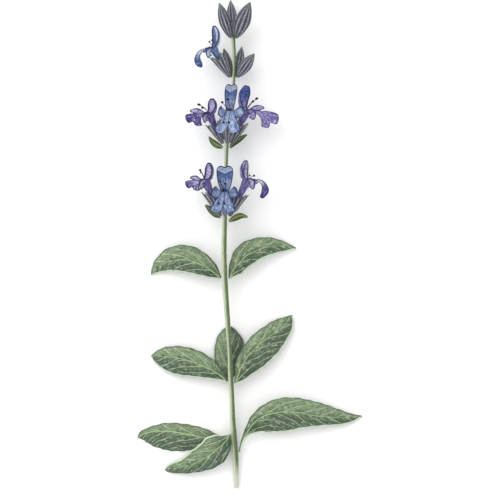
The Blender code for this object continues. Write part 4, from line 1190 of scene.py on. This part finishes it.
def lip_places(shape, share, across):
    """The middle lobe of the lower lip: narrow at the throat, broad and notched at its end."""
    form = LIP_FORMS[shape["lip_form"]]
    notch = form["notch"] * np.exp(-((across / LIP_NOTCH_WIDTH) ** 2))
    shortened = notch + form["rounding"] * np.abs(across) ** 3
    share = share * (1.0 - shortened * share)
    start, end = shape["lip_start"], shape["lip_end"]
    along, outward, heading = arc_point(shape["lip"], start, end, share, shape["lip_bend"])
    wide = shape["lip_width"] * profile(form["width"], share) * across
    bend = LIP_CUP * across**2 * (LIP_ROOT_CUP + (1.0 - LIP_ROOT_CUP) * share)
    bend = bend + LIP_RUFFLE * np.sin(LIP_RUFFLES * math.pi * across) * share**2
    roll = math.radians(shape["lip_roll"]) * share
    x = shape["lip_drift"] * share - wide * np.cos(roll) - bend * np.sin(roll)
    rise = wide * np.sin(roll) - bend * np.cos(roll)
    along = shape["tube"] + along - rise * np.sin(heading)
    outward = shape["throat"] + outward + rise * np.cos(heading)
    return np.stack([x, along, outward], axis=-1)


def side_places(shape, share, across, hand):
    """A side lobe of the lower lip: a short tongue that spreads sideways and turns down."""
    form = SIDE_LOBES[shape["sides"][hand < 0]]
    along, outward, heading = arc_point(form["length"], form["start"], form["end"], share)
    round_share = ease((share - SIDE_ROUND_START) / (1.0 - SIDE_ROUND_START))
    rounding = 1.0 - SIDE_ROUNDING * round_share * np.abs(across)
    wide = form["half"] * profile(SIDE_WIDTH, share) * across * rounding
    twist = math.radians(form["twist"]) * np.minimum(2 * share, 1.0)
    flat = wide * np.sin(twist)
    wide = wide * np.cos(twist)
    along = along - flat * np.sin(heading)
    outward = outward + flat * np.cos(heading)
    wave = SIDE_RUFFLE * np.sin(SIDE_RUFFLES * math.pi * across) * share**2
    turn = math.radians(form["turn"])
    root = math.radians(SIDE_ROOT)
    x = shape["throat"] * math.sin(root) + outward * math.sin(turn) - wide * math.cos(turn)
    z = -shape["throat"] * math.cos(root) + outward * math.cos(turn) + wide * math.sin(turn)
    x, along, z = np.broadcast_arrays(x, along, z + wave)
    return np.stack([hand * x, shape["tube"] + along, z], axis=-1)


def add_lobe(sheet, shape, turn, part, length, half_width, place, hand=1.0):
    """One lobe that grows out of the tube's edge and eases into its own form."""
    rows, blend = LOBE_ROWS[part], LOBE_BLEND[part]
    share = np.linspace(0.0, 1.0, rows + 1)[:, None]
    across = hand * np.linspace(-1.0, 1.0, len(turn))[None, :]
    edge_of_tube = ring_places(shape["tube"], shape["throat"], turn)
    joined = ease(share / blend)[..., None]
    places = edge_of_tube * (1 - joined) + place(share, turn, across) * joined
    inward = np.minimum((1 - np.abs(across)) * half_width, (1 - share) * length)
    value = named_values(shape["tube"] + length * share, turn / (2 * math.pi), part)
    sheet.grid(places, flip=True, petal=value, petal_look=named_values(share, across, inward))


def make_corolla(name, shape, material):
    """A two-lipped flower: tube, hood, broad middle lobe and two side lobes in one sheet."""
    sheet = Sheet("petal", "petal_look")
    turns = [np.radians(np.linspace(*arc)) for arc in (HOOD_ARC, RIGHT_ARC, LIP_ARC, LEFT_ARC)]
    ring = np.concatenate([turn[:-1] for turn in turns])[None, :]
    share = np.linspace(0.0, 1.0, TUBE_ROWS + 1)[:, None]
    far = TUBE_START + (shape["tube"] - TUBE_START) * share
    places = ring_places(far, shape["throat"] * profile(TUBE_PROFILE, share), ring)
    value = named_values(far, ring / (2 * math.pi), 0.0)
    look = named_values(share * ring * 0.0, TUBE_ACROSS, TUBE_INWARD)
    sheet.grid(places, closed=True, flip=True, petal=value, petal_look=look)

    hood_turn, right_turn, lip_turn, left_turn = turns
    add_lobe(sheet, shape, hood_turn, HOOD, shape["hood"], HOOD_HALF_WIDTH,
             lambda share, turn, across: hood_places(shape, share, turn))
    add_lobe(sheet, shape, lip_turn, LIP, shape["lip"], shape["lip_width"],
             lambda share, turn, across: lip_places(shape, share, across))
    for hand, turn, side in ((1.0, right_turn, 0), (-1.0, left_turn, 1)):
        form = SIDE_LOBES[shape["sides"][side]]
        add_lobe(sheet, shape, turn, SIDE_LOBE, form["length"], form["half"],
                 lambda share, turn, across: side_places(shape, share, across, hand), hand)
    corolla = flower_piece(sheet, "corolla_" + name, shape, FLOWER_OFFSET, material)
    thicken(corolla, PETAL_THICKNESS)


def thread_rings(stations):
    """Rings of a smooth tube through stations of x, y, z and radius."""
    stations = np.array(stations)
    gaps = np.linalg.norm(np.diff(stations[:, :3], axis=0), axis=1)
    knots = np.concatenate([[0.0], np.cumsum(gaps)])
    steps = np.arange((len(knots) - 1) * THREAD_STEPS + 1) / THREAD_STEPS
    along = np.interp(steps, np.arange(len(knots)), knots)
    found = spline(knots, stations, along)
    heading = unit(np.gradient(found[:, :3], axis=0))
    side = unit(np.cross(heading, THREAD_SIDE))
    up = np.cross(side, heading)
    turn = np.linspace(0, 2 * math.pi, THREAD_SIDES, endpoint=False)[None, :, None]
    radius = np.maximum(found[:, 3], THREAD_LEAST)[:, None, None]
    rings = found[:, None, :3] + radius * (side[:, None] * np.cos(turn) + up[:, None] * np.sin(turn))
    return rings, found[:, 3:], along[:, None]


def make_thread(name, shape, stations, material):
    """A smooth closed thread through stations in the flower's own axes."""
    rings, radius, along = thread_rings(stations)
    value = named_values(radius, along, np.zeros(rings.shape[:2]))
    sheet = Sheet("thread")
    sheet.grid(rings, closed=True, thread=value)
    for end, flip in ((0, True), (-1, False)):
        sheet.cap(end, (1.0, 0.0), flip, rings, rings[end].mean(axis=0), thread=value)
    flower_piece(sheet, "stamens_" + name, shape, FLOWER_OFFSET, material)


def make_stamens(name, shape, material):
    """Two stamens on one bent thread that starts inside the throat, each with its anther."""
    half = []
    other = []
    for x, past, z, radius in STAMEN:
        if past > 0.0:
            past = past * shape["thread"]
            z = z * shape["rise"]
        beyond = max(past, 0.0) / STAMEN_REACH
        drift = shape["sweep"] * beyond
        half.append((drift + x, shape["tube"] + past, z, radius))
        past = past - shape["shorter"] * beyond
        z = z - shape["lower"] * beyond
        other.append((drift - x, shape["tube"] + past, z, radius))
    make_thread(name, shape, half[::-1] + other[1:], material)


def make_lip_stamens(name, shape, pair, material):
    """Two more stamens on one thread that comes out of the throat and hangs over the lip."""
    first = math.radians(shape["lip_start"])
    last = math.radians(pair["end"])
    arc = shape["lip"] / math.radians(shape["lip_end"] - shape["lip_start"])
    reach = arc + LIP_STAMEN_GAP

    def station(x, heading, radius):
        """A station on the arc that runs over the lip's own arc."""
        along = shape["tube"] - arc * math.sin(first) + reach * math.sin(heading)
        outward = shape["throat"] + arc * math.cos(first) - reach * math.cos(heading)
        return (x, along, outward, radius)

    halves = []
    for hand in (1, -1):
        half = [(hand * x, shape["tube"] + past, z, THREAD) for x, past, z in LIP_STAMEN_ROOT]
        for share in np.linspace(0.0, 1.0, LIP_STAMEN_STEPS + 1):
            apart = LIP_STAMEN_APART + (pair["apart"] - LIP_STAMEN_APART) * share
            x = pair["sweep"] * share + hand * apart
            half.append(station(x, first + (last - first) * share, THREAD))
        for further, factor in ANTHER_TIP:
            half.append(station(x, last + further / reach, THREAD * factor))
        halves.append(half)
    make_thread(name, shape, halves[0][::-1] + halves[1][1:], material)


# Down: short hairs as slim three-sided cones

def make_hairs(name, roots, ways, lengths, material):
    """One piece of hairs on their roots; those that would go through the table are left out."""
    ways = unit(ways)
    keep = roots[:, 2] + ways[:, 2] * HAIR_LENGTH > HAIR_RADIUS
    roots, ways, lengths = roots[keep], ways[keep], lengths[keep]
    side = unit(np.cross(ways, HAIR_SIDE))
    turn = np.radians((0, 120, 240))[:, None, None]
    around = HAIR_RADIUS * (side * np.cos(turn) + np.cross(side, ways) * np.sin(turn))
    tips = roots + ways * lengths[:, None] + around * HAIR_TIP
    points = np.concatenate([(roots + around).transpose(1, 0, 2), tips.transpose(1, 0, 2)], axis=1)
    values = np.zeros(points.shape)
    values[:, 3:, 0] = 1.0
    start = np.arange(len(roots))[:, None] * 6
    faces = [start + (j, (j + 1) % 3, (j + 1) % 3 + 3, j + 3) for j in range(3)]
    sheet = Sheet("hair")
    sheet.points.append(points.reshape(-1, 3))
    sheet.values["hair"].append(values.reshape(-1, 3))
    sheet.faces.append(np.concatenate(faces))
    hairs = sheet.build(name, [material])
    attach(hairs, "root")


def stem_down(material, random):
    """Hairs all over the stem, pointing out and a little down it."""
    middle, half, side, up = stem_rings(HAIR_RINGS)
    pick = random.integers(0, HAIR_RINGS, STEM_HAIRS)
    angle = random.uniform(0, 2 * math.pi, STEM_HAIRS)
    out = side[pick] * np.cos(angle)[:, None] + up[pick] * np.sin(angle)[:, None]
    shift = random.uniform(-HAIR_SHIFT, HAIR_SHIFT, STEM_HAIRS)[:, None] * Y_AXIS
    roots = middle[pick] + out * (half[pick] * stem_radius(angle) * HAIR_ROOT)[:, None] + shift
    ways = out + random.normal(0, STEM_HAIR_SPREAD, out.shape) + STEM_HAIR_LEAN * Y_AXIS
    lengths = HAIR_LENGTH * random.uniform(*STEM_HAIR_SHARES, STEM_HAIRS)
    make_hairs("down_stem", roots, ways, lengths, material)


def mesh_rows(collection, field):
    """Numbers of a mesh, three for each point."""
    values = np.empty(len(collection) * 3, np.float32)
    collection.foreach_get(field, values)
    return values.reshape(-1, 3)


def surface_down(name, things, count, material, random, choose):
    """Hairs that stand on the chosen points of pieces, leaning along the sprig."""
    roots = []
    ways = []
    for thing in things:
        vertices = thing.data.vertices
        pick = random.choice(choose(thing.data), count)
        roots.append(mesh_rows(vertices, "co")[pick] / MM)
        ways.append(mesh_rows(vertices, "normal")[pick])
    roots = np.concatenate(roots)
    ways = np.concatenate(ways)
    ways = ways + random.normal(0, HAIR_SPREAD, ways.shape) + HAIR_LEAN * Y_AXIS
    lengths = HAIR_LENGTH * random.uniform(*HAIR_SHARES, len(roots))
    make_hairs(name, roots, ways, lengths, material)


def every_point(mesh):
    return np.arange(len(mesh.vertices))


def margin_points(mesh):
    """The points of a blade that lie on its margins."""
    across = mesh_rows(mesh.attributes["blade"].data, "vector")[:, 1]
    return np.nonzero(np.abs(across) > MARGIN)[0]


# Stage, light and camera

def make_stage():
    """A plain pale floor, wide enough for low views."""
    ends = np.array((-FLOOR_HALF, FLOOR_HALF))
    sheet = Sheet()
    sheet.grid(np.stack(np.broadcast_arrays(ends[None, :], ends[:, None], 0.0), axis=-1))
    sheet.build("floor", [floor_material()])


def make_lights():
    """Even studio light, with a broad soft key from the upper left."""
    world = bpy.data.worlds.new("studio")
    world.use_nodes = True
    background = world.node_tree.nodes["Background"]
    background.inputs["Color"].default_value = (1.0, 1.0, 1.0, 1.0)
    background.inputs["Strength"].default_value = STUDIO_LIGHT
    bpy.context.scene.world = world
    light = bpy.data.lights.new("key", "AREA")
    light.size = KEY_SIZE * MM
    light.energy = KEY_POWER
    key = bpy.data.objects.new("key", light)
    key.location = Vector(KEY_PLACE) * MM
    key.rotation_euler = (-Vector(KEY_PLACE)).to_track_quat("-Z", "Y").to_euler()
    bpy.context.scene.collection.objects.link(key)


def make_camera():
    """Straight down on the sprig, its tip to the top of the picture."""
    data = bpy.data.cameras.new("camera")
    data.sensor_width = SENSOR
    data.lens = SENSOR * (CAMERA_HEIGHT - FOCUS_HEIGHT) / PICTURE_WIDTH
    data.clip_end = CAMERA_FAR_END * MM
    camera = bpy.data.objects.new("camera", data)
    camera.location = Vector((*CAMERA_PLACE, CAMERA_HEIGHT)) * MM
    bpy.context.scene.collection.objects.link(camera)
    bpy.context.scene.camera = camera
    bpy.context.scene.view_settings.view_transform = "Standard"


def make_blades():
    """All leaves and bracts; the leaves are returned."""
    leaf_top = blade_material("leaf_top", LEAF_LIT_HALF, LEAF_SHADED_HALF_AND_UNDER_GRAIN, LEAF_VEIN, LEAF_MIDRIB)
    leaf_under = blade_under_material("leaf_under", LEAF_UNDER, LEAF_VEIN)
    bract_top = blade_material("bract_top", BRACT_LIT_HALF_AND_UNDERSIDE, BRACT_SHADED_HALF, BRACT_VEIN, BRACT_VEIN, bract=True)
    bract_under = blade_under_material("bract_under", BRACT_LIT_HALF_AND_UNDERSIDE, BRACT_VEIN)
    leaves = []
    for seed, (name, shape) in enumerate(LEAVES.items()):
        leaves.append(make_blade(name, shape, LEAF_ROW, LEAF_HALF_COLUMNS, [leaf_top, leaf_under],
                                 seed))
    for seed, (name, shape) in enumerate(BRACTS.items()):
        make_blade(name, shape, BRACT_ROW, BRACT_HALF_COLUMNS, [bract_top, bract_under],
                   seed)
    return leaves


def main():
    random = np.random.default_rng(7)
    make_stem(stem_material())
    leaves = make_blades()
    calyx_skin = calyx_material()
    anther_skin = stamen_material()
    bells = []
    for seed, (name, shape) in enumerate({**FLOWERS, **EMPTY_CALYCES}.items()):
        bells.append(make_calyx(name, shape, calyx_skin, seed))
    for seed, (name, shape) in enumerate(BUDS.items()):
        bells.append(make_bud(name, shape, calyx_skin, FIRST_BUD_SEED + seed))
    for name, shape in FLOWERS.items():
        make_corolla(name, shape, petal_material("petal_" + name, PETALS[name]))
        make_stamens(name, shape, anther_skin)
    for name, pair in LIP_STAMENS.items():
        make_lip_stamens(name + "_front", FLOWERS[name], pair, anther_skin)
    down = down_material()
    stem_down(down, random)
    surface_down("down_calyces", bells, CALYX_HAIRS, down, random, every_point)
    surface_down("down_leaf_margins", leaves, MARGIN_HAIRS, down, random, margin_points)
    make_stage()
    make_lights()
    make_camera()


main()
